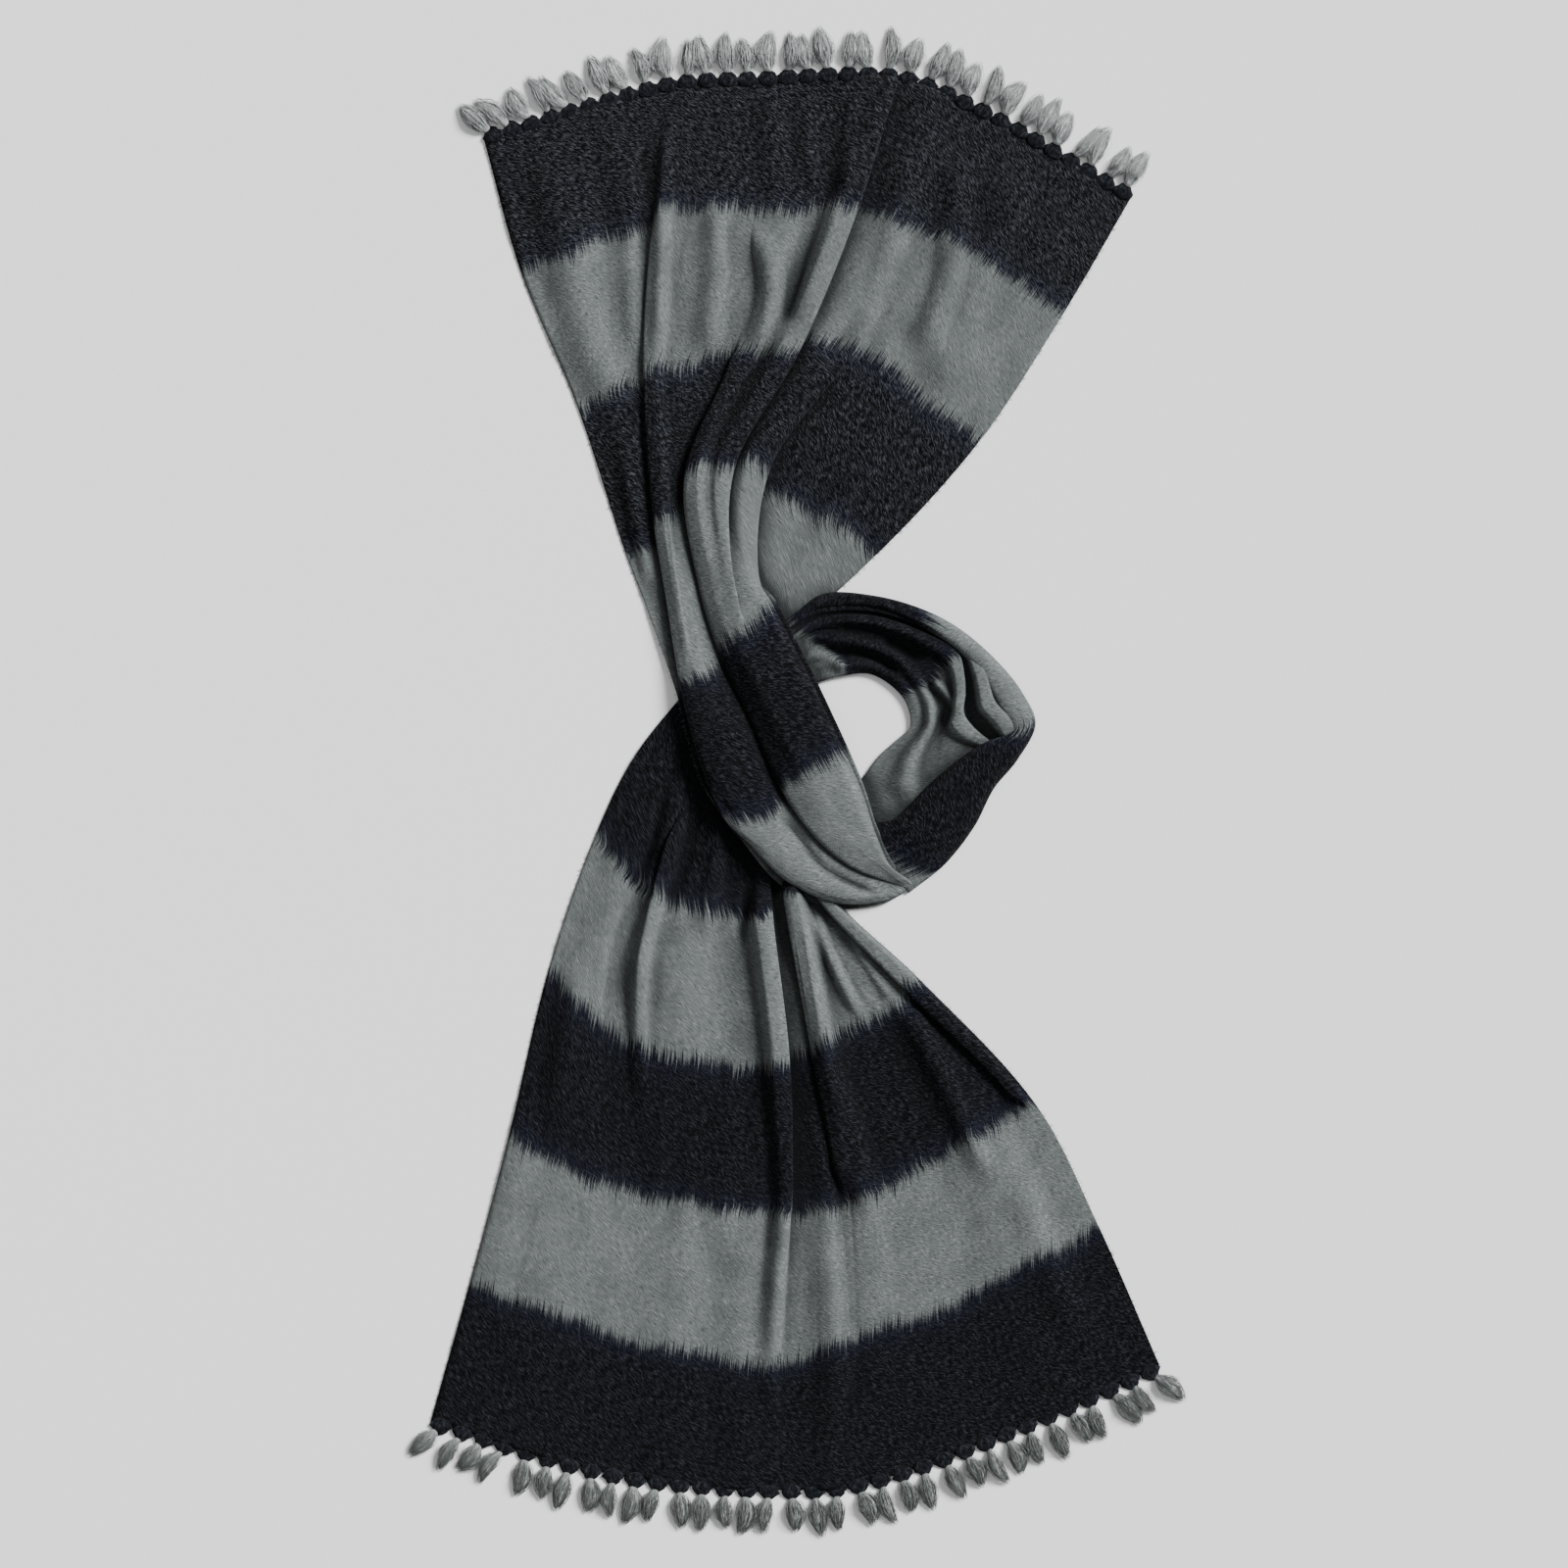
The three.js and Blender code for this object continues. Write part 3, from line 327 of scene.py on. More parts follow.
INNER_RIDGES = [
    dict(gap=0, at=0.7, width=0.3, height=[1, 7, 9, 9, 8, 7, 4, 3, 3, 2, 1]),
    dict(gap=0, at=0.25, width=0.25, height=[0, 0, 0, 0, 0, 0, 2, 4, 4, 3, 1]),
    dict(gap=1, at=0.55, width=0.4, height=[0, 2, 3, 2, 1, 1, 2, 2, 1, 0, 0]),
    dict(gap=3, at=0.5, width=0.4, height=[0, 2, 3, 3, 3, 2, 1, 0, 0, 0, 0]),
]
INNER_CREASES = [
    ([(132, 97), (142, 86), (152, 74), (164, 60)], 7, 3.5),
    ([(122, 96), (132, 86), (141, 75), (146, 64), (143, 50)], 8, -5.0),
    ([(57, 112), (45, 121), (30, 129), (14, 132)], 6, -4.5),
    ([(8, 110), (20, 119), (35, 117), (52, 109)], 6, 3.5),
    ([(4, 134), (6, 124), (9, 112)], 5, 3.0),
    ([(18, 102), (32, 106), (48, 103)], 6, -2.5),
    ([(36, 134), (58, 131), (78, 126), (98, 116), (108, 106)], 6, 3.0),
    ([(42, 124), (62, 120), (84, 112), (100, 98)], 8, -3.5),
    ([(40, 150), (70, 149), (98, 140), (124, 128), (140, 116)], 7, 3.0),
    ([(84, 134), (104, 124), (122, 112)], 9, -4.0),
]
RIM_CREASES = [
    ([(112, -96), (125, -87), (140, -76), (150, -70), (164, -56), (174, -38)], 4, -3.0),
    ([(30, 169), (80, 170), (120, 156)], 3, -1.5),
    ([(90, -46), (118, -24), (150, 4)], 7, 1.5),
]

# Fringes: angles are in radians, and reach is the share of the end over which tassels fan out.
TASSELS = 34
UPPER_LEAN = dict(left=0.6, right=0.1, reach=0.25)
LOWER_LEAN = dict(left=0.6, right=0.4, reach=0.15)
UNEVEN_LEAN = 0.16
ROOT_OUT = 2.0  # from the cloth's end to a tassel's root
UPPER_TASSEL = dict(length=38, width=14)
LOWER_TASSEL = dict(length=35, width=13)
TASSEL_THICK = 6.5
KNOT_SIZE = dict(length=16.5, width=21.0, thick=2.6)
KNOT_BACK = 8.0  # how far a knot reaches back over the cloth
NECK = 5.5  # how much of a tassel's root the knot hides
BOW = 0.22  # how far a tassel bends sideways, as a share of its length
TASSEL_HAIRS = 84
SIDES = 12  # round a tassel or a knot
LUMPS = 0.28  # how uneven they are, as a share of their width
REST = 0.9  # height of the underside of what lies on the floor


# Lines and sections.
def hermite(a, b, c, d, w):
    """A point between b and c on the centripetal Catmull-Rom line through a, b, c and d."""
    lengths = [np.linalg.norm(q - p, axis=-1, keepdims=True) for p, q in ((a, b), (b, c), (c, d))]
    ta, tb, tc = (np.maximum(length, 1e-6) ** 0.5 for length in lengths)
    m1 = tb * ((b - a) / ta - (c - a) / (ta + tb) + (c - b) / tb)
    m2 = tb * ((c - b) / tb - (d - b) / (tb + tc) + (d - c) / tc)
    return b + m1 * w + (3 * (c - b) - 2 * m1 - m2) * w**2 + (2 * (b - c) + m1 + m2) * w**3


def catmull(points, at):
    """Points on the line through points, at these shares of it, the same share for each span."""
    p = np.asarray(points, float)
    p = np.vstack([2 * p[0] - p[1], p, 2 * p[-1] - p[-2]])
    spans = len(p) - 3
    t = np.asarray(at, float) * spans
    i = np.minimum(t.astype(int), spans - 1)
    return hermite(p[i], p[i + 1], p[i + 2], p[i + 3], (t - i)[:, None])


def by_row(values, rows):
    """Values given at stations, one for each row."""
    return np.interp(np.linspace(0, len(values) - 1, rows), range(len(values)), values)


def smooth(x):
    """A soft step from 0 to 1."""
    x = np.clip(x, 0, 1)
    return x * x * (3 - 2 * x)


def unit(vectors):
    return vectors / np.maximum(np.linalg.norm(vectors, axis=-1, keepdims=True), 1e-9)


def lengths_along(line):
    """How far along a line each of its points lies."""
    return np.concatenate([[0], np.cumsum(np.linalg.norm(np.diff(line, axis=0), axis=1))])


def soft_bump(away):
    """1 at a ridge's crest, 0 at a share of 1 away from it."""
    return 0.5 + 0.5 * np.cos(math.pi * np.minimum(away, 1))


def pleat_steps(top, low, tuck, wrap):
    """One pleat from its lower layer to its upper one, as steps (across, up) for each row.

    Where wrap is 1 the lower layer runs straight on under the upper one, as round a bundle.
    """
    angle = math.pi * np.clip(1 + tuck, 0.01, 1)
    sin, cos = np.sin(angle), np.cos(angle)
    low_r = math.pi * low / angle
    top_r = math.pi * top / angle
    hidden = np.maximum(tuck, 0.2)
    steps = []
    for k in range(ARC + 1):
        a = angle * k / ARC
        under = (ARC + 1 - k) * WRAP_STEP - hidden
        across = low_r * np.sin(a) * (1 - wrap) + under * wrap
        up = low_r * (1 - np.cos(a)) * (1 - wrap) + 2 * low_r * wrap
        steps.append((across, up))
    start = (low_r * sin + hidden * cos, low_r * (1 - cos) + hidden * sin)
    for k in range(ARC + 1):
        a = angle * (1 - k / ARC)
        steps.append((start[0] + top_r * (sin - np.sin(a)), start[1] + top_r * (np.cos(a) - cos)))
    return np.array(steps)


def reach_of(guide, side, rows):
    """How far a pleat's hidden layers reach under the cloth on the side that lies over."""
    if guide.get("over") != side:
        return np.zeros(rows)
    tuck = by_row(guide["tuck"], rows)
    wide = by_row(guide["top"], rows) + by_row(guide["low"], rows)
    return np.maximum(tuck, 0) + wide * np.clip(1 + tuck, 0, 1) + WALL


def run_points(guides, distances, gaps, ridges, rows, fall=18.0, rises=(), falls=(), gathered=NONE):
    """The middle surface of a run of cloth: points (rows, columns, 3) and distances along.

    gaps counts the columns between two guides. rises and falls name the gaps whose cloth is rounded
    up to the next guide's crest or down from its own; gathered is how tightly each station is held.
    """
    at = np.linspace(0, 1, rows)
    plans = [catmull(g["plan"], at) for g in guides]
    lifts = [by_row(g["lift"], rows) for g in guides]
    own = [by_row(g["v"] if "v" in g else distances, rows) for g in guides]
    alongs = [unit(np.gradient(p, axis=0)) for p in plans]
    gather = by_row(gathered, rows)
    last = len(guides) - 1
    pleats = []
    for i, g in enumerate(guides):
        if "over" not in g:
            pleats.append([(np.zeros((rows, 2)), lifts[i])])
            continue
        across = unit(plans[min(i + 1, last)] - plans[max(i - 1, 0)])
        wrap = by_row(g.get("wrap", NONE), rows)
        steps = pleat_steps(*(by_row(g[k], rows) for k in ("top", "low", "tuck")), wrap)
        slip = by_row(g.get("slip", NONE), rows)
        side = 1 if g["over"] == "right" else -1
        least = steps[:, 0].min(axis=0)
        count = len(steps)
        layers = []
        for k in range(count):
            lower = 1 - k / (count - 1)
            offset = across * (side * (steps[k, 0] - least))[:, None]
            offset += alongs[i] * (slip * lower)[:, None]
            layers.append((offset, lifts[i] + steps[k, 1]))
        pleats.append(layers if side > 0 else layers[::-1])
    edge = [2 * plans[0] - plans[1]] + plans + [2 * plans[-1] - plans[-2]]
    columns = []
    vs = []
    for i, g in enumerate(guides):
        for offset, up in pleats[i]:
            columns.append(np.column_stack([plans[i] + offset, up + WALL / 2]))
            vs.append(own[i])
        if i == last:
            break
        n = gaps[i]
        width = np.linalg.norm(plans[i + 1] - plans[i], axis=1)
        here = reach_of(g, "right", rows)
        after = reach_of(guides[i + 1], "left", rows)
        first = np.where(here > 0, np.minimum(here / width, MOST_HIDDEN), 1 / n)
        final = 1 - np.where(after > 0, np.minimum(after / width, MOST_HIDDEN), 1 / n)
        spread = np.minimum(fall, width * 0.7)
        from_off, from_up = pleats[i][-1]
        to_off, to_up = pleats[i + 1][0]
        for k in range(1, n):
            f = first + (final - first) * (k - 1) / (n - 2)
            plan = hermite(edge[i], edge[i + 1], edge[i + 2], edge[i + 3], f[:, None])
            plan = plan + from_off * (1 - f)[:, None] + to_off * f[:, None]
            shape = f
            if i in falls:
                shape = f**ROUND_DOWN
            if i in rises:
                shape = 1 - (1 - f) ** ROUND_UP
            low = lifts[i] + (lifts[i + 1] - lifts[i]) * shape
            down = 1 - smooth((f * width - here) / spread)
            rise = 1 - smooth(((1 - f) * width - after) / spread)
            loose = low + (from_up - lifts[i]) * down + (to_up - lifts[i + 1]) * rise
            tight = from_up + (to_up - from_up) * shape
            up = loose + (tight - loose) * gather
            for r in ridges:
                if r["gap"] == i:
                    up = up + by_row(r["height"], rows) * soft_bump(np.abs(f - r["at"]) / r["width"])
            columns.append(np.column_stack([plan, up + WALL / 2]))
            vs.append(own[i] + (own[i + 1] - own[i]) * f)
    return np.stack(columns, axis=1), np.stack(vs, axis=1)


def crease(points, line, width, height):
    """Raises (or, below 0, lowers) the points beside a line as a soft ridge that fades at its ends."""
    line = catmull(line, np.linspace(0, 1, 8 * len(line)))
    flat = points.reshape(-1, 3)
    best = np.full(len(flat), 1e9)
    share = np.zeros(len(flat))
    for i in range(len(line) - 1):
        a, b = line[i], line[i + 1]
        d = b - a
        w = np.clip(((flat[:, :2] - a) @ d) / max(d @ d, 1e-9), 0, 1)
        away = np.linalg.norm(flat[:, :2] - a - w[:, None] * d, axis=1)
        near = away < best
        best[near] = away[near]
        share[near] = ((i + w) / (len(line) - 1))[near]
    fade = smooth(share / CREASE_END) * smooth((1 - share) / CREASE_END)
    flat[:, 2] += height * soft_bump(best / width) * fade


def soften(points, size, amount, seed):
    """Small uneven swells all over a sheet."""
    flat = points.reshape(-1, 3)
    for p in flat:
        p[2] += amount * noise.noise(Vector((p[0] / size, p[1] / size, seed)))


def physical_u(points):
    """Each point's distance across the cloth from its middle column, along its row."""
    steps = np.linalg.norm(np.diff(points, axis=1), axis=2)
    u = np.concatenate([np.zeros((len(points), 1)), np.cumsum(steps, axis=1)], axis=1)
    return u - u[:, [u.shape[1] // 2]]


def new_object(name, mesh, material):
    mesh.shade_smooth()
    mesh.materials.append(material)
    obj = bpy.data.objects.new(name, mesh)
    bpy.context.collection.objects.link(obj)
    return obj


def sheet_object(name, points, v):
    """A thin wall of cloth on its middle surface, with the distance along the cut as v."""
    rows, cols = points.shape[:2]
    verts = (points.reshape(-1, 3) + SHIFT) * MM
    index = np.arange(rows * cols).reshape(rows, cols)
    corners = [index[:-1, :-1], index[1:, :-1], index[1:, 1:], index[:-1, 1:]]
    quads = np.stack(corners, axis=-1).reshape(-1, 4)
    mesh = bpy.data.meshes.new(name)
    mesh.from_pydata(verts.tolist(), [], quads.tolist())
    uv = mesh.uv_layers.new(name="cloth")
    flat_uv = np.column_stack([physical_u(points).reshape(-1), v.reshape(-1)]) * MM
    uv.data.foreach_set("uv", flat_uv[quads.reshape(-1)].reshape(-1))
    obj = new_object(name, mesh, cloth)
    wall = obj.modifiers.new("wall", "SOLIDIFY")
    wall.thickness = WALL * MM
    wall.offset = 0
    return obj


# Materials. All of them are dull wool.
WOOL = (("Roughness", 0.95), ("Specular IOR Level", 0.05), ("Sheen Weight", 0.02), ("Sheen Roughness", 0.6))


class Nodes:
    """A short way to wire a material's nodes."""

    def __init__(self, name):
        self.material = bpy.data.materials.new(name)
        self.material.use_nodes = True
        self.tree = self.material.node_tree
        self.shader = self.tree.nodes["Principled BSDF"]

    def math(self, kind, *values):
        node = self.tree.nodes.new("ShaderNodeMath")
        node.operation = kind
        for socket, value in zip(node.inputs, values):
            if isinstance(value, (int, float)):
                socket.default_value = value
            else:
                self.tree.links.new(value, socket)
        return node.outputs[0]

    def vector(self, x, y):
        node = self.tree.nodes.new("ShaderNodeCombineXYZ")
        for socket, value in zip(node.inputs, (x, y)):
            self.tree.links.new(value, socket)
        return node.outputs[0]

    def scaled(self, value, size):
        return self.math("MULTIPLY", value, 1 / size)

    def noise(self, vector, detail, rough=0.5):
        node = self.tree.nodes.new("ShaderNodeTexNoise")
        node.noise_dimensions = "2D"
        node.inputs["Scale"].default_value = 1.0
        node.inputs["Detail"].default_value = detail
        node.inputs["Roughness"].default_value = rough
        self.tree.links.new(vector, node.inputs["Vector"])
        return node.outputs["Fac"]

    def ramp(self, value, low, high, to_low=0.0, to_high=1.0):
        node = self.tree.nodes.new("ShaderNodeMapRange")
        node.interpolation_type = "SMOOTHSTEP"
        self.tree.links.new(value, node.inputs["Value"])
        for key, number in (("From Min", low), ("From Max", high), ("To Min", to_low), ("To Max", to_high)):
            node.inputs[key].default_value = number
        return node.outputs[0]

    def mix(self, share, a, b):
        node = self.tree.nodes.new("ShaderNodeMix")
        node.data_type = "RGBA"
        for socket, value in ((node.inputs[0], share), (node.inputs[6], a), (node.inputs[7], b)):
            if isinstance(value, (int, float)):
                socket.default_value = value
            elif isinstance(value, tuple):
                socket.default_value = (*value, 1)
            else:
                self.tree.links.new(value, socket)
        return node.outputs[2]

    def attribute(self, name):
        node = self.tree.nodes.new("ShaderNodeAttribute")
        node.attribute_name = name
        return node.outputs["Fac"]

    def uv_mm(self):
        """The place on the cut in millimetres, across and along."""
        node = self.tree.nodes.new("ShaderNodeUVMap")
        node.uv_map = "cloth"
        split = self.tree.nodes.new("ShaderNodeSeparateXYZ")
        self.tree.links.new(node.outputs[0], split.inputs[0])
        return [self.scaled(split.outputs[k], MM) for k in (0, 1)]

    def finish(self, colour, height, strength, distance):
        """Wires a soft, dull surface with this colour and with height as its bump."""
        bump = self.tree.nodes.new("ShaderNodeBump")
        bump.inputs["Strength"].default_value = strength
        bump.inputs["Distance"].default_value = distance
        self.tree.links.new(height, bump.inputs["Height"])
        self.tree.links.new(bump.outputs[0], self.shader.inputs["Normal"])
        self.tree.links.new(colour, self.shader.inputs["Base Color"])
        for key, number in WOOL:
            self.shader.inputs[key].default_value = number
        return self.material


# Colours of the cloth. BLACK and GREY_DEEP show between the fibres; the fibres themselves are BLACK_LIT at
# the upper end,
# BLACK_DIM from the crossing down (painted light that falls off towards the lower end), and GREY to
# GREY_LIT.
BLACK = (0.0007, 0.0008, 0.0013)
BLACK_LIT = (0.050, 0.054, 0.063)
BLACK_DIM = (0.021, 0.023, 0.029)
NAVY = (0.0030, 0.0036, 0.0100)
GREY = (0.098, 0.109, 0.108)
GREY_LIT = (0.180, 0.192, 0.191)
GREY_DEEP = (0.043, 0.050, 0.0495)
# SHADE is painted shade: the colour that the cloth in hollows is darkened towards.
SHADE = (0.0030, 0.0034, 0.0040)
DEEPEST_SHADE = 0.8  # how far a full hollow's colour goes over to SHADE, the painted shade
# The dye's ragged edge: for each kind of streak its width, its length, and how far it reaches.
STREAKS = ((0.9, 75, 30), (2.2, 55, 15), (8, 90, 11), (45, 160, 14))
DYE_EDGE = (-6.5, 4.5)  # from grey to black, in millimetres either side of the edge
NAVY_EDGE = (4, 26)  # how far from the edge the navy in the black fades
NAVY_ENDS = (60, 90)  # how far from the cut's ends it begins
MOST_NAVY = 0.7
DIMMING = (150, 700)  # where the black's fibres go from BLACK_LIT to BLACK_DIM, painted light falling off down the cloth
ALL_BLACK = ((70, 45), (CUT - 70, CUT - 45))  # where each end's last band goes over to plain black
BEND_SIZE = 11.11  # how long a stretch of hairs bends one way


def fibres(n, u, v, angle, across, along, wobble):
    """Fine hairs at an angle to the warp: a stretched noise, bent by up to wobble."""
    c, s = math.cos(angle), math.sin(angle)
    bend = n.noise(n.vector(n.scaled(u, BEND_SIZE), n.scaled(v, BEND_SIZE)), 2)
    bend = n.math("MULTIPLY", n.math("SUBTRACT", bend, 0.5), wobble)
    a = n.math("ADD", n.math("MULTIPLY", u, c), n.math("MULTIPLY", v, s))
    b = n.math("SUBTRACT", n.math("MULTIPLY", v, c), n.math("MULTIPLY", u, s))
    a = n.math("ADD", a, bend)
    return n.noise(n.vector(n.scaled(a, across), n.scaled(b, along)), 3, 0.6)


def dye(n, u, v):
    """How black each place is, and how navy the black is there: it bleeds beside each dye edge."""
    shift = None
    for width, length, reach in STREAKS:
        cell = n.noise(n.vector(n.scaled(u, width), n.scaled(v, length)), 1)
        part = n.math("MULTIPLY", n.math("SUBTRACT", cell, 0.5), reach)
        shift = part if shift is None else n.math("ADD", shift, part)
    edge = n.math("ADD", n.math("ADD", v, shift), BAND / 2)
    depth = n.math("SUBTRACT", n.math("PINGPONG", edge, BAND), BAND / 2)
    dark = n.ramp(depth, *DYE_EDGE)
    for low, high in ALL_BLACK:
        dark = n.math("MAXIMUM", dark, n.ramp(v, low, high))
    near = n.ramp(n.math("ABSOLUTE", depth), *NAVY_EDGE, to_low=1, to_high=0)
    from_middle = n.math("ABSOLUTE", n.math("SUBTRACT", v, CUT / 2))
    from_end = n.math("SUBTRACT", CUT / 2, from_middle)
    near = n.math("MULTIPLY", near, n.ramp(from_end, *NAVY_ENDS))
    return dark, n.math("MULTIPLY", near, MOST_NAVY)


def nap(n, u, v):
    """The brushed surface: fine hairs, wider ones, and a few long loose ones that bend most."""
    fine = fibres(n, u, v, angle=-1.0, across=0.9, along=6.0, wobble=4.0)
    wide = fibres(n, u, v, angle=-0.85, across=1.8, along=9.0, wobble=6.0)
    light = n.math("ADD", n.math("MULTIPLY", fine, 0.7), n.math("MULTIPLY", wide, 0.3))
    loose = fibres(n, u, v, angle=-1.15, across=2.2, along=11.0, wobble=12.0)
    from_line = n.math("ABSOLUTE", n.math("SUBTRACT", loose, 0.5))
    return n.math("ADD", light, n.ramp(from_line, 0.0, 0.03, to_low=0.1, to_high=0.0))


def cloth_material():
    n = Nodes("brushed_wool")
    u, v = n.uv_mm()
    dark, navy = dye(n, u, v)
    light = nap(n, u, v)
    mottle = n.noise(n.vector(n.scaled(u, 28.57), n.scaled(v, 33.33)), 3)
    black = n.mix(navy, BLACK, NAVY)
    # Painted light: the black's fibres go from a lit tone at the upper end to a dim one further down.
    bright = n.mix(n.ramp(v, *DIMMING), BLACK_LIT, BLACK_DIM)
    black = n.mix(n.ramp(light, 0.47, 0.72), black, bright)
    grey = n.mix(n.ramp(light, 0.3, 0.5), GREY_DEEP, GREY)
    grey = n.mix(n.ramp(light, 0.5, 0.72), grey, GREY_LIT)
    grey = n.mix(n.ramp(mottle, 0.35, 0.7, to_high=0.25), grey, GREY_DEEP)
    colour = n.mix(dark, grey, black)
    # Painted shade: each point's colour is darkened towards SHADE by how deep its hollow lies.
    colour = n.mix(n.math("MULTIPLY", n.attribute("hollow_shade"), DEEPEST_SHADE), colour, SHADE)
    diagonal = n.math("ADD", n.math("MULTIPLY", u, 0.8), n.math("MULTIPLY", v, 0.8))
    twill = n.math("SINE", n.math("MULTIPLY", diagonal, 3.2))
    height = n.math("ADD", light, n.math("MULTIPLY", twill, 0.05))
    return n.finish(colour, height, strength=0.55, distance=0.0012)


def yarn_material(name, deep, base, lit):
    """Loose yarn whose hairs run along it, in three tones of one colour."""
    n = Nodes(name)
    u, v = n.uv_mm()
    hair = n.noise(n.vector(n.scaled(u, 0.8), n.scaled(v, 5.0)), 3, 0.6)
    colour = n.mix(n.ramp(hair, 0.3, 0.52), deep, base)
    colour = n.mix(n.ramp(hair, 0.5, 0.75), colour, lit)
    return n.finish(colour, hair, strength=0.5, distance=0.001)


cloth = cloth_material()
tassel_yarn = yarn_material(
    "tassel_yarn", deep=(0.09, 0.099, 0.096), base=(0.16, 0.172, 0.168), lit=(0.26, 0.275, 0.27)
)
# Painted light: the upper fringe's yarn is the tassel yarn painted paler, for the brighter light at the
# upper end.
painted_lit_yarn = yarn_material(
    "painted_lit_yarn", deep=(0.19, 0.20, 0.20), base=(0.32, 0.336, 0.335), lit=(0.46, 0.475, 0.475)
)
hair_yarn = yarn_material(
    "hair_yarn", deep=(0.05, 0.054, 0.055), base=(0.13, 0.14, 0.14), lit=(0.27, 0.285, 0.285)
)
knot_yarn = yarn_material(
    "knot_yarn", deep=(0.0016, 0.0018, 0.0028), base=(0.006, 0.0068, 0.009), lit=(0.022, 0.0245, 0.03)
)


# The camera, straight above. What it sees is FRAME_MM wide, about FRAME_MIDDLE.
FRAME_MM = 1472.0
FRAME_MIDDLE = (-6.4, -1.8)
LENS = 85
SENSOR = 36
camera_data = bpy.data.cameras.new("camera")
camera_data.lens = LENS
camera_data.sensor_width = SENSOR
camera = bpy.data.objects.new("camera", camera_data)
camera.location = (
    (FRAME_MIDDLE[0] + SHIFT[0]) * MM,
    (FRAME_MIDDLE[1] + SHIFT[1]) * MM,
    FRAME_MM * MM * LENS / SENSOR,
)
bpy.context.collection.objects.link(camera)
bpy.context.scene.camera = camera

# The floor, in metres.
FLOOR_SIZE = 50
FLOOR_HEIGHT = -0.0002
PAPER = (("Base Color", (0.88, 0.88, 0.89, 1)), ("Roughness", 0.9), ("Specular IOR Level", 0.1))
bpy.ops.mesh.primitive_plane_add(size=FLOOR_SIZE, location=(0, 0, FLOOR_HEIGHT))
floor = bpy.context.object
floor.name = "floor"
paper = bpy.data.materials.new("paper")
paper.use_nodes = True
for key, setting in PAPER:
    paper.node_tree.nodes["Principled BSDF"].inputs[key].default_value = setting
floor.data.materials.append(paper)

# The light: a wide window on the upper right, a weak lamp on the left and a pale room.
WINDOW_STRENGTH = 8.2
WINDOW_WIDTH = math.radians(22)
WINDOW_WAY = (-0.95, -0.72, -0.74)
FILL_PLACE = (-1.0, 0.6, 3.0)
FILL_SIZE = 2.5
FILL_WATTS = 10
ROOM_STRENGTH = 0.38


def aimed(name, light, way):
    """A light's object, turned to shine this way."""
    obj = bpy.data.objects.new(name, light)
    obj.rotation_euler = Vector(way).to_track_quat("-Z", "Y").to_euler()
    bpy.context.collection.objects.link(obj)
    return obj


sun = bpy.data.lights.new("window", "SUN")
sun.energy = WINDOW_STRENGTH
sun.angle = WINDOW_WIDTH
aimed("window", sun, WINDOW_WAY)
disk = bpy.data.lights.new("fill", "AREA")
disk.shape = "DISK"
disk.size = FILL_SIZE
disk.energy = FILL_WATTS
aimed("fill", disk, -Vector(FILL_PLACE)).location = FILL_PLACE
world = bpy.data.worlds.new("studio")
world.use_nodes = True
background = world.node_tree.nodes["Background"]
background.inputs["Color"].default_value = (1, 1, 1, 1)
background.inputs["Strength"].default_value = ROOM_STRENGTH
bpy.context.scene.world = world


# The cloth.
def dressed(name, points, v, creases, swells=(), flip=False):
    """A sheet with its creases and swells, kept above the floor: the object and its points."""
    for line, width, height in creases:
        crease(points, line, width, height)
    for size, amount, seed in swells:
        soften(points, size, amount, seed)
    points[..., 2] = np.maximum(points[..., 2], WALL / 2)
    if flip:
        points = points[:, ::-1]
        v = v[:, ::-1]
    return sheet_object(name, points, v), points


PANEL_SWELLS = ((48.0, 1.8, 3.0), (17.0, 0.35, 9.0))
run, along = run_points(
    UPPER, UPPER_V, UPPER_GAPS, UPPER_RIDGES, 260, rises=(1, 3), falls=(2, 4), gathered=UPPER_GATHERED
)
upper_run, upper_points = dressed("upper_run", run, along, UPPER_CREASES, PANEL_SWELLS)
run, along = run_points(LOWER, LOWER_V, LOWER_GAPS, LOWER_RIDGES, 190)
lower_run, lower_points = dressed("lower_run", run, along, LOWER_CREASES, PANEL_SWELLS)

# The rim's section, from under its inner edge up over the top, down the outside and back under:
# share of its width out from the inner edge, and share of its height.
RIM_PROFILE = [
    (0.30, 0.34), (0.16, 0.33), (0.05, 0.36), (0.0, 0.5), (0.02, 0.68), (0.08, 0.83), (0.16, 0.92),
    (0.28, 0.98), (0.42, 1.0), (0.56, 0.98), (0.7, 0.92), (0.82, 0.8), (0.92, 0.62), (0.98, 0.42),
    (1.0, 0.24), (0.985, 0.1), (0.94, 0.03), (0.85, 0.0), (0.6, 0.0),
]


def rim_points(rows):
    at = np.linspace(0, 1, rows)
    inner = catmull([s["inner"] for s in RIM], at)
    outer = catmull([s["outer"] for s in RIM], at)
    high = by_row([s["high"] for s in RIM], rows)
    v = by_row([s["v"] for s in RIM], rows)
    skew = by_row([s["skew"] for s in RIM], rows)
    out = unit(outer - inner)
    width = np.linalg.norm(outer - inner, axis=1)
    columns = []
    vs = []
    for share, up in reversed(RIM_PROFILE):
        plan = inner + out * (width * share)[:, None]
        columns.append(np.column_stack([plan, WALL / 2 + (high - WALL) * up]))
        vs.append(v + skew * share)
    return np.stack(columns, axis=1), np.stack(vs, axis=1)


run, along = rim_points(170)
loop_rim, rim = dressed("loop_rim", run, along, RIM_CREASES, [(24.0, 0.7, 5.0)])
run, along = run_points(INNER, None, INNER_GAPS, INNER_RIDGES, 200, fall=9.0)
loop_folds, fold_points = dressed("loop_folds", run, along, INNER_CREASES, flip=True)


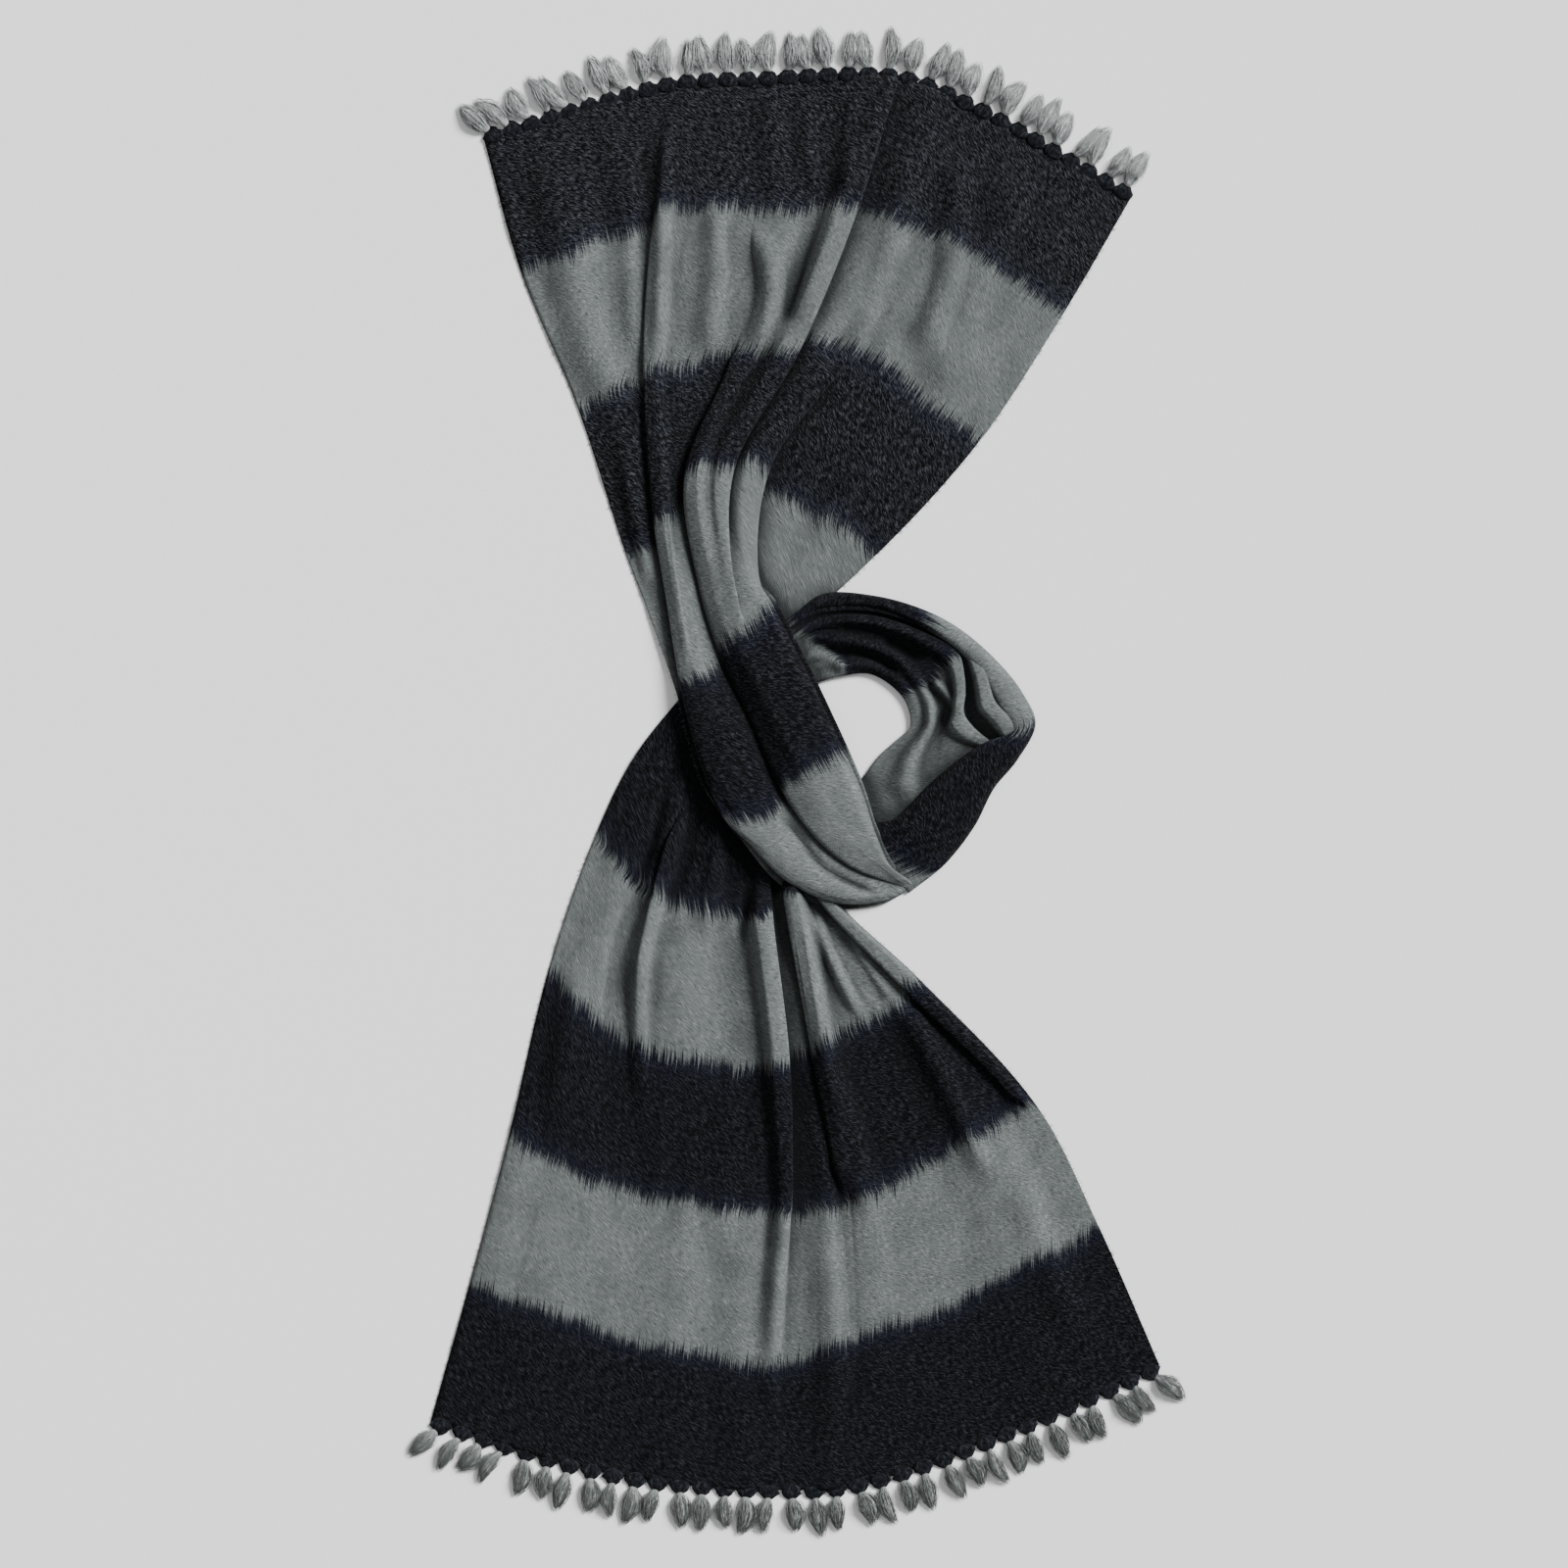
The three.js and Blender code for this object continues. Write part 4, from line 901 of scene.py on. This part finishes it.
# Painted shade in hollows: where the cloth lies below what is round it, its colour is darkened as if in
# shade.
CELL = 3.5  # of the grid that heights are gathered on
BLUR = 10.0  # how far round a place its surroundings reach
HOLLOW_DEPTH = 6.0  # how far below them a full hollow lies
LOOP_SHADE = 0.3  # the least painted shade inside the loop, for the shade that its rim casts there


def between(points):
    """A sheet's points with those halfway between neighbours added, as one list."""
    rows = np.concatenate([points, (points[1:] + points[:-1]) / 2])
    columns = (rows[:, 1:] + rows[:, :-1]) / 2
    return np.concatenate([rows.reshape(-1, 3), columns.reshape(-1, 3)])


def blurred_heights(sheets):
    """The top height of all the sheets on a grid of cells, blurred, and the grid's corner."""
    points = np.concatenate([between(p) for p in sheets])
    corner = points[:, :2].min(axis=0) - 4 * BLUR
    cells = ((points[:, :2] - corner) / CELL).astype(int)
    field = np.zeros(cells.max(axis=0) + int(4 * BLUR / CELL))
    np.maximum.at(field, (cells[:, 0], cells[:, 1]), points[:, 2])
    reach = int(3 * BLUR / CELL)
    kernel = np.exp(-0.5 * (np.arange(-reach, reach + 1) * CELL / BLUR) ** 2)
    kernel /= kernel.sum()
    for axis in (0, 1):
        field = np.apply_along_axis(np.convolve, axis, field, kernel, mode="same")
    return corner, field


def paint_hollow_shade(obj, points, corner, field, least):
    """Stores on each point how much painted shade it gets for lying in a hollow, from 0 to 1."""
    flat = points.reshape(-1, 3)
    at = (flat[:, :2] - corner) / CELL - 0.5
    i, j = at.astype(int).T
    a, b = (at - at.astype(int)).T
    around = (field[i, j] * (1 - a) + field[i + 1, j] * a) * (1 - b)
    around += (field[i, j + 1] * (1 - a) + field[i + 1, j + 1] * a) * b
    hollow_shade = np.clip(least + (around - flat[:, 2]) / HOLLOW_DEPTH, 0, 1)
    layer = obj.data.attributes.new("hollow_shade", "FLOAT", "POINT")
    layer.data.foreach_set("value", hollow_shade)


sheets = (
    (upper_run, upper_points, 0.0),
    (lower_run, lower_points, 0.0),
    (loop_rim, rim, 0.0),
    (loop_folds, fold_points, LOOP_SHADE),
)
grid_corner, heights = blurred_heights([sheet_points for obj, sheet_points, least in sheets])
for obj, sheet_points, least in sheets:
    paint_hollow_shade(obj, sheet_points, grid_corner, heights, least)


# The fringes.
def turned(way, angle):
    c, s = math.cos(angle), math.sin(angle)
    return np.array([way[0] * c - way[1] * s, way[0] * s + way[1] * c])


def fringe_places(guides, end, outward, lean):
    """Each tassel's root, the way out of the cloth there, the way it lies, and its size.

    They are spaced along the cloth's end as in the CAD, and lean sideways near its corners.
    """
    knots = [g["plan"][end] for g in guides]
    fine = catmull(knots, np.linspace(0, 1, 1200))
    length = lengths_along(fine)
    length /= length[-1]

    def at(f):
        return np.array([np.interp(f, length, fine[:, k]) for k in (0, 1)])

    places = []
    for n in range(TASSELS):
        f = (n + 0.5) / TASSELS
        way = unit(at(min(f + 0.02, 1)) - at(max(f - 0.02, 0)))
        out = np.array([-way[1], way[0]]) * outward
        fan = lean["left"] * max(1 - f / lean["reach"], 0)
        fan -= lean["right"] * max(1 - (1 - f) / lean["reach"], 0)
        heading = turned(out, fan * outward + UNEVEN_LEAN * math.sin(1.31 * n * n))
        places.append((at(f) + out * ROOT_OUT, out, heading, 0.92 + 0.08 * math.sin(2.3 * n)))
    return places


UV_ROUND = 14.0  # how much cloth coordinate one turn round a tube takes


class Mesh:
    """Collects vertices, faces and cloth coordinates for one object."""

    def __init__(self):
        self.verts = []
        self.faces = []
        self.uvs = []

    def tube(self, rings, uvs):
        """A tube through rings of points, closed at both ends by a ring of one point."""
        base = len(self.verts)
        n = len(rings[1])
        self.verts.append(rings[0][0])
        self.uvs.append(uvs[0])
        for ring, uv in zip(rings[1:-1], uvs[1:-1]):
            for k, p in enumerate(ring):
                self.verts.append(p)
                self.uvs.append((uv[0] + UV_ROUND * k / n, uv[1]))
        self.verts.append(rings[-1][0])
        self.uvs.append(uvs[-1])
        count = len(rings) - 2
        end = base + 1 + count * n
        for k in range(n):
            after = (k + 1) % n
            self.faces.append((base, base + 1 + after, base + 1 + k))
            for r in range(count - 1):
                a = base + 1 + r * n
                self.faces.append((a + k, a + after, a + n + after, a + n + k))
            a = base + 1 + (count - 1) * n
            self.faces.append((a + k, a + after, end))

    def object(self, name, material):
        mesh = bpy.data.meshes.new(name)
        mesh.from_pydata(((np.array(self.verts) + SHIFT) * MM).tolist(), [], self.faces)
        layer = mesh.uv_layers.new(name="cloth")
        uv = np.array(self.uvs) * MM
        for loop in mesh.loops:
            layer.data[loop.index].uv = uv[loop.vertex_index]
        return new_object(name, mesh, material)


# The width of a tassel and of a knot at shares of its length.
LOCK = [
    (0, 0), (0.02, 0.44), (0.1, 0.6), (0.22, 0.8), (0.36, 0.95), (0.48, 1.0), (0.6, 0.94),
    (0.73, 0.76), (0.84, 0.52), (0.93, 0.27), (1.0, 0),
]
KNOT = [(0, 0), (0.08, 0.5), (0.22, 0.82), (0.42, 0.98), (0.58, 0.88), (0.74, 0.62), (0.88, 0.42), (1.0, 0)]


def teardrop(mesh, shape, root, heading, length, width, thick, seed, bow):
    """A closed soft body that lies along heading and bends sideways by bow."""
    side = np.array([-heading[1], heading[0], 0.0])
    ahead = np.array([heading[0], heading[1], 0.0])
    rings = []
    uvs = []
    for s, w in shape:
        up = REST + (thick / 2) * max(w, 0.3)
        middle = np.array([*root, up]) + ahead * length * s + side * (bow * length * s * (1 - s) * 2)
        ring = []
        for k in range(SIDES):
            a = 2 * math.pi * k / SIDES
            lump = noise.noise(Vector((math.cos(a) * 2.2 + seed, math.sin(a) * 2.2, s * 6)))
            reach = w * (1 + LUMPS * lump)
            lift = thick / 2 * reach * math.sin(a)
            ring.append(middle + side * (width / 2 * reach * math.cos(a)) + np.array([0, 0, lift]))
        rings.append(ring)
        uvs.append((seed * 31.0, s * length))
    mesh.tube(rings, uvs)


THIRDS = (0, 2.094, 4.189)  # the corners of a three-sided hair, in radians


def strand(mesh, points, radius, seed):
    """A thin hair through points, three-sided."""
    rings = [[points[0]]]
    for i in range(1, len(points) - 1):
        way = unit(points[i + 1] - points[i - 1])
        side = unit(np.cross(way, [0, 0, 1.0]) + 1e-6)
        up = np.cross(side, way)
        rings.append([points[i] + radius * (side * math.cos(a) + up * math.sin(a)) for a in THIRDS])
    rings.append([points[-1]])
    mesh.tube(rings, [(seed, 2.0 * i) for i in range(len(rings))])


# The width that a tassel's hairs follow. Each one ends at its own width.
HAIR_AT = (0, 0.1, 0.3, 0.48, 0.7, 0.86, 1.0)
HAIR_WIDTH = (0.4, 0.6, 0.9, 1.0, 0.8, 0.5)


def tassel_hair(start, heading, bow, length, width):
    """The points of one hair on a tassel, somewhere round its upper side."""
    side = np.array([-heading[1], heading[0]])
    a = rng.uniform(-0.1 * math.pi, 1.1 * math.pi)
    spread = rng.uniform(0.92, 1.2) + 0.6 * rng.uniform() ** 4
    reach = rng.uniform(0.8, 1.12)
    first = rng.uniform(0, 0.35)
    end = rng.uniform(0.0, 0.3)
    line = []
    for s in np.linspace(first, 1, 7):
        w = np.interp(s, HAIR_AT, [*HAIR_WIDTH, end])
        across = math.cos(a) * width / 2 * w * spread + bow * length * s * (1 - s) * 2
        across += rng.normal(0, 0.55)
        up = REST + TASSEL_THICK / 2 * w + math.sin(a) * TASSEL_THICK / 2 * w * spread
        plan = start + heading * (length * reach * s) + side * across
        line.append(np.array([plan[0], plan[1], max(up, 0.5)]))
    return line


def fringe_objects(name, places, length, width, material):
    """The tassels of one end with their hairs, and the knots that tie them."""
    yarn = Mesh()
    knots = Mesh()
    for n, (root, out, heading, size) in enumerate(places):
        long = length * size
        wide = width * (1 + 0.14 * math.sin(3.7 * n))
        seed = n * 1.37
        start = root + heading * NECK
        bow = BOW * math.sin(seed * 2.7)
        teardrop(yarn, LOCK, start, heading, long, wide, TASSEL_THICK, seed, bow)
        for k in range(TASSEL_HAIRS):
            line = tassel_hair(start, heading, bow, long, wide)
            strand(yarn, line, rng.uniform(0.15, 0.34), n * 3.1 + k)
        teardrop(knots, KNOT, root - out * KNOT_BACK, out, **KNOT_SIZE, seed=n * 0.77 + 40, bow=0)
    return yarn.object(name + "_tassels", material), knots.object(name + "_knots", knot_yarn)


upper_places = fringe_places(UPPER, 0, 1, UPPER_LEAN)
upper_tassels, upper_knots = fringe_objects("upper", upper_places, **UPPER_TASSEL, material=painted_lit_yarn)
lower_places = fringe_places(LOWER, -1, -1, LOWER_LEAN)
lower_tassels, lower_knots = fringe_objects("lower", lower_places, **LOWER_TASSEL, material=tassel_yarn)


# Loose hairs along the panels' selvedges.
HAIR_EVERY = 1.6


def selvedge_hairs(name, points):
    """Loose hairs that stand out from both selvedges of a sheet."""
    hairs = Mesh()
    for edge, inside in ((points[:, 0], points[:, 3]), (points[:, -1], points[:, -4])):
        along_edge = lengths_along(edge)
        for k in range(int(along_edge[-1] / HAIR_EVERY)):
            place = rng.uniform(0, along_edge[-1])
            root = np.array([np.interp(place, along_edge, edge[:, i]) for i in range(3)])
            back = np.array([np.interp(place, along_edge, inside[:, i]) for i in range(3)])
            out = unit((root - back) * (1, 1, 0))
            way = np.array([*turned(out, rng.normal(0, 0.8)), 0])
            side = np.array([-way[1], way[0], 0])
            length = rng.uniform(2.0, 5.5)
            bend = rng.normal(0, 1.2)
            start = root - out * 1.2
            line = [start + way * length * f + side * bend * f**2 for f in np.linspace(0, 1, 4)]
            strand(hairs, line, rng.uniform(0.1, 0.2), k)
    return hairs.object(name, hair_yarn)


# Only the rows that lie open: the strand's and the hidden ones have none.
upper_hairs = selvedge_hairs("upper_hairs", upper_points[:150])
lower_hairs = selvedge_hairs("lower_hairs", lower_points[60:])


# What stands for what.
for piece, nodes, slot in (
    (upper_run, ("upper_panel", "crossing_strand"), "cloth"),
    (lower_run, ("lower_panel", "under_pass"), "cloth"),
    (loop_rim, ("loop_outer",), "cloth"),
    (loop_folds, ("loop_inner",), "cloth"),
    (upper_tassels, ("upper_fringe",), "fringe"),
    (lower_tassels, ("lower_fringe",), "fringe"),
    (upper_knots, (), "cloth"),
    (lower_knots, (), "cloth"),
    (upper_hairs, (), "cloth"),
    (lower_hairs, (), "cloth"),
):
    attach(piece, "root")
    if nodes:
        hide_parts(*nodes)
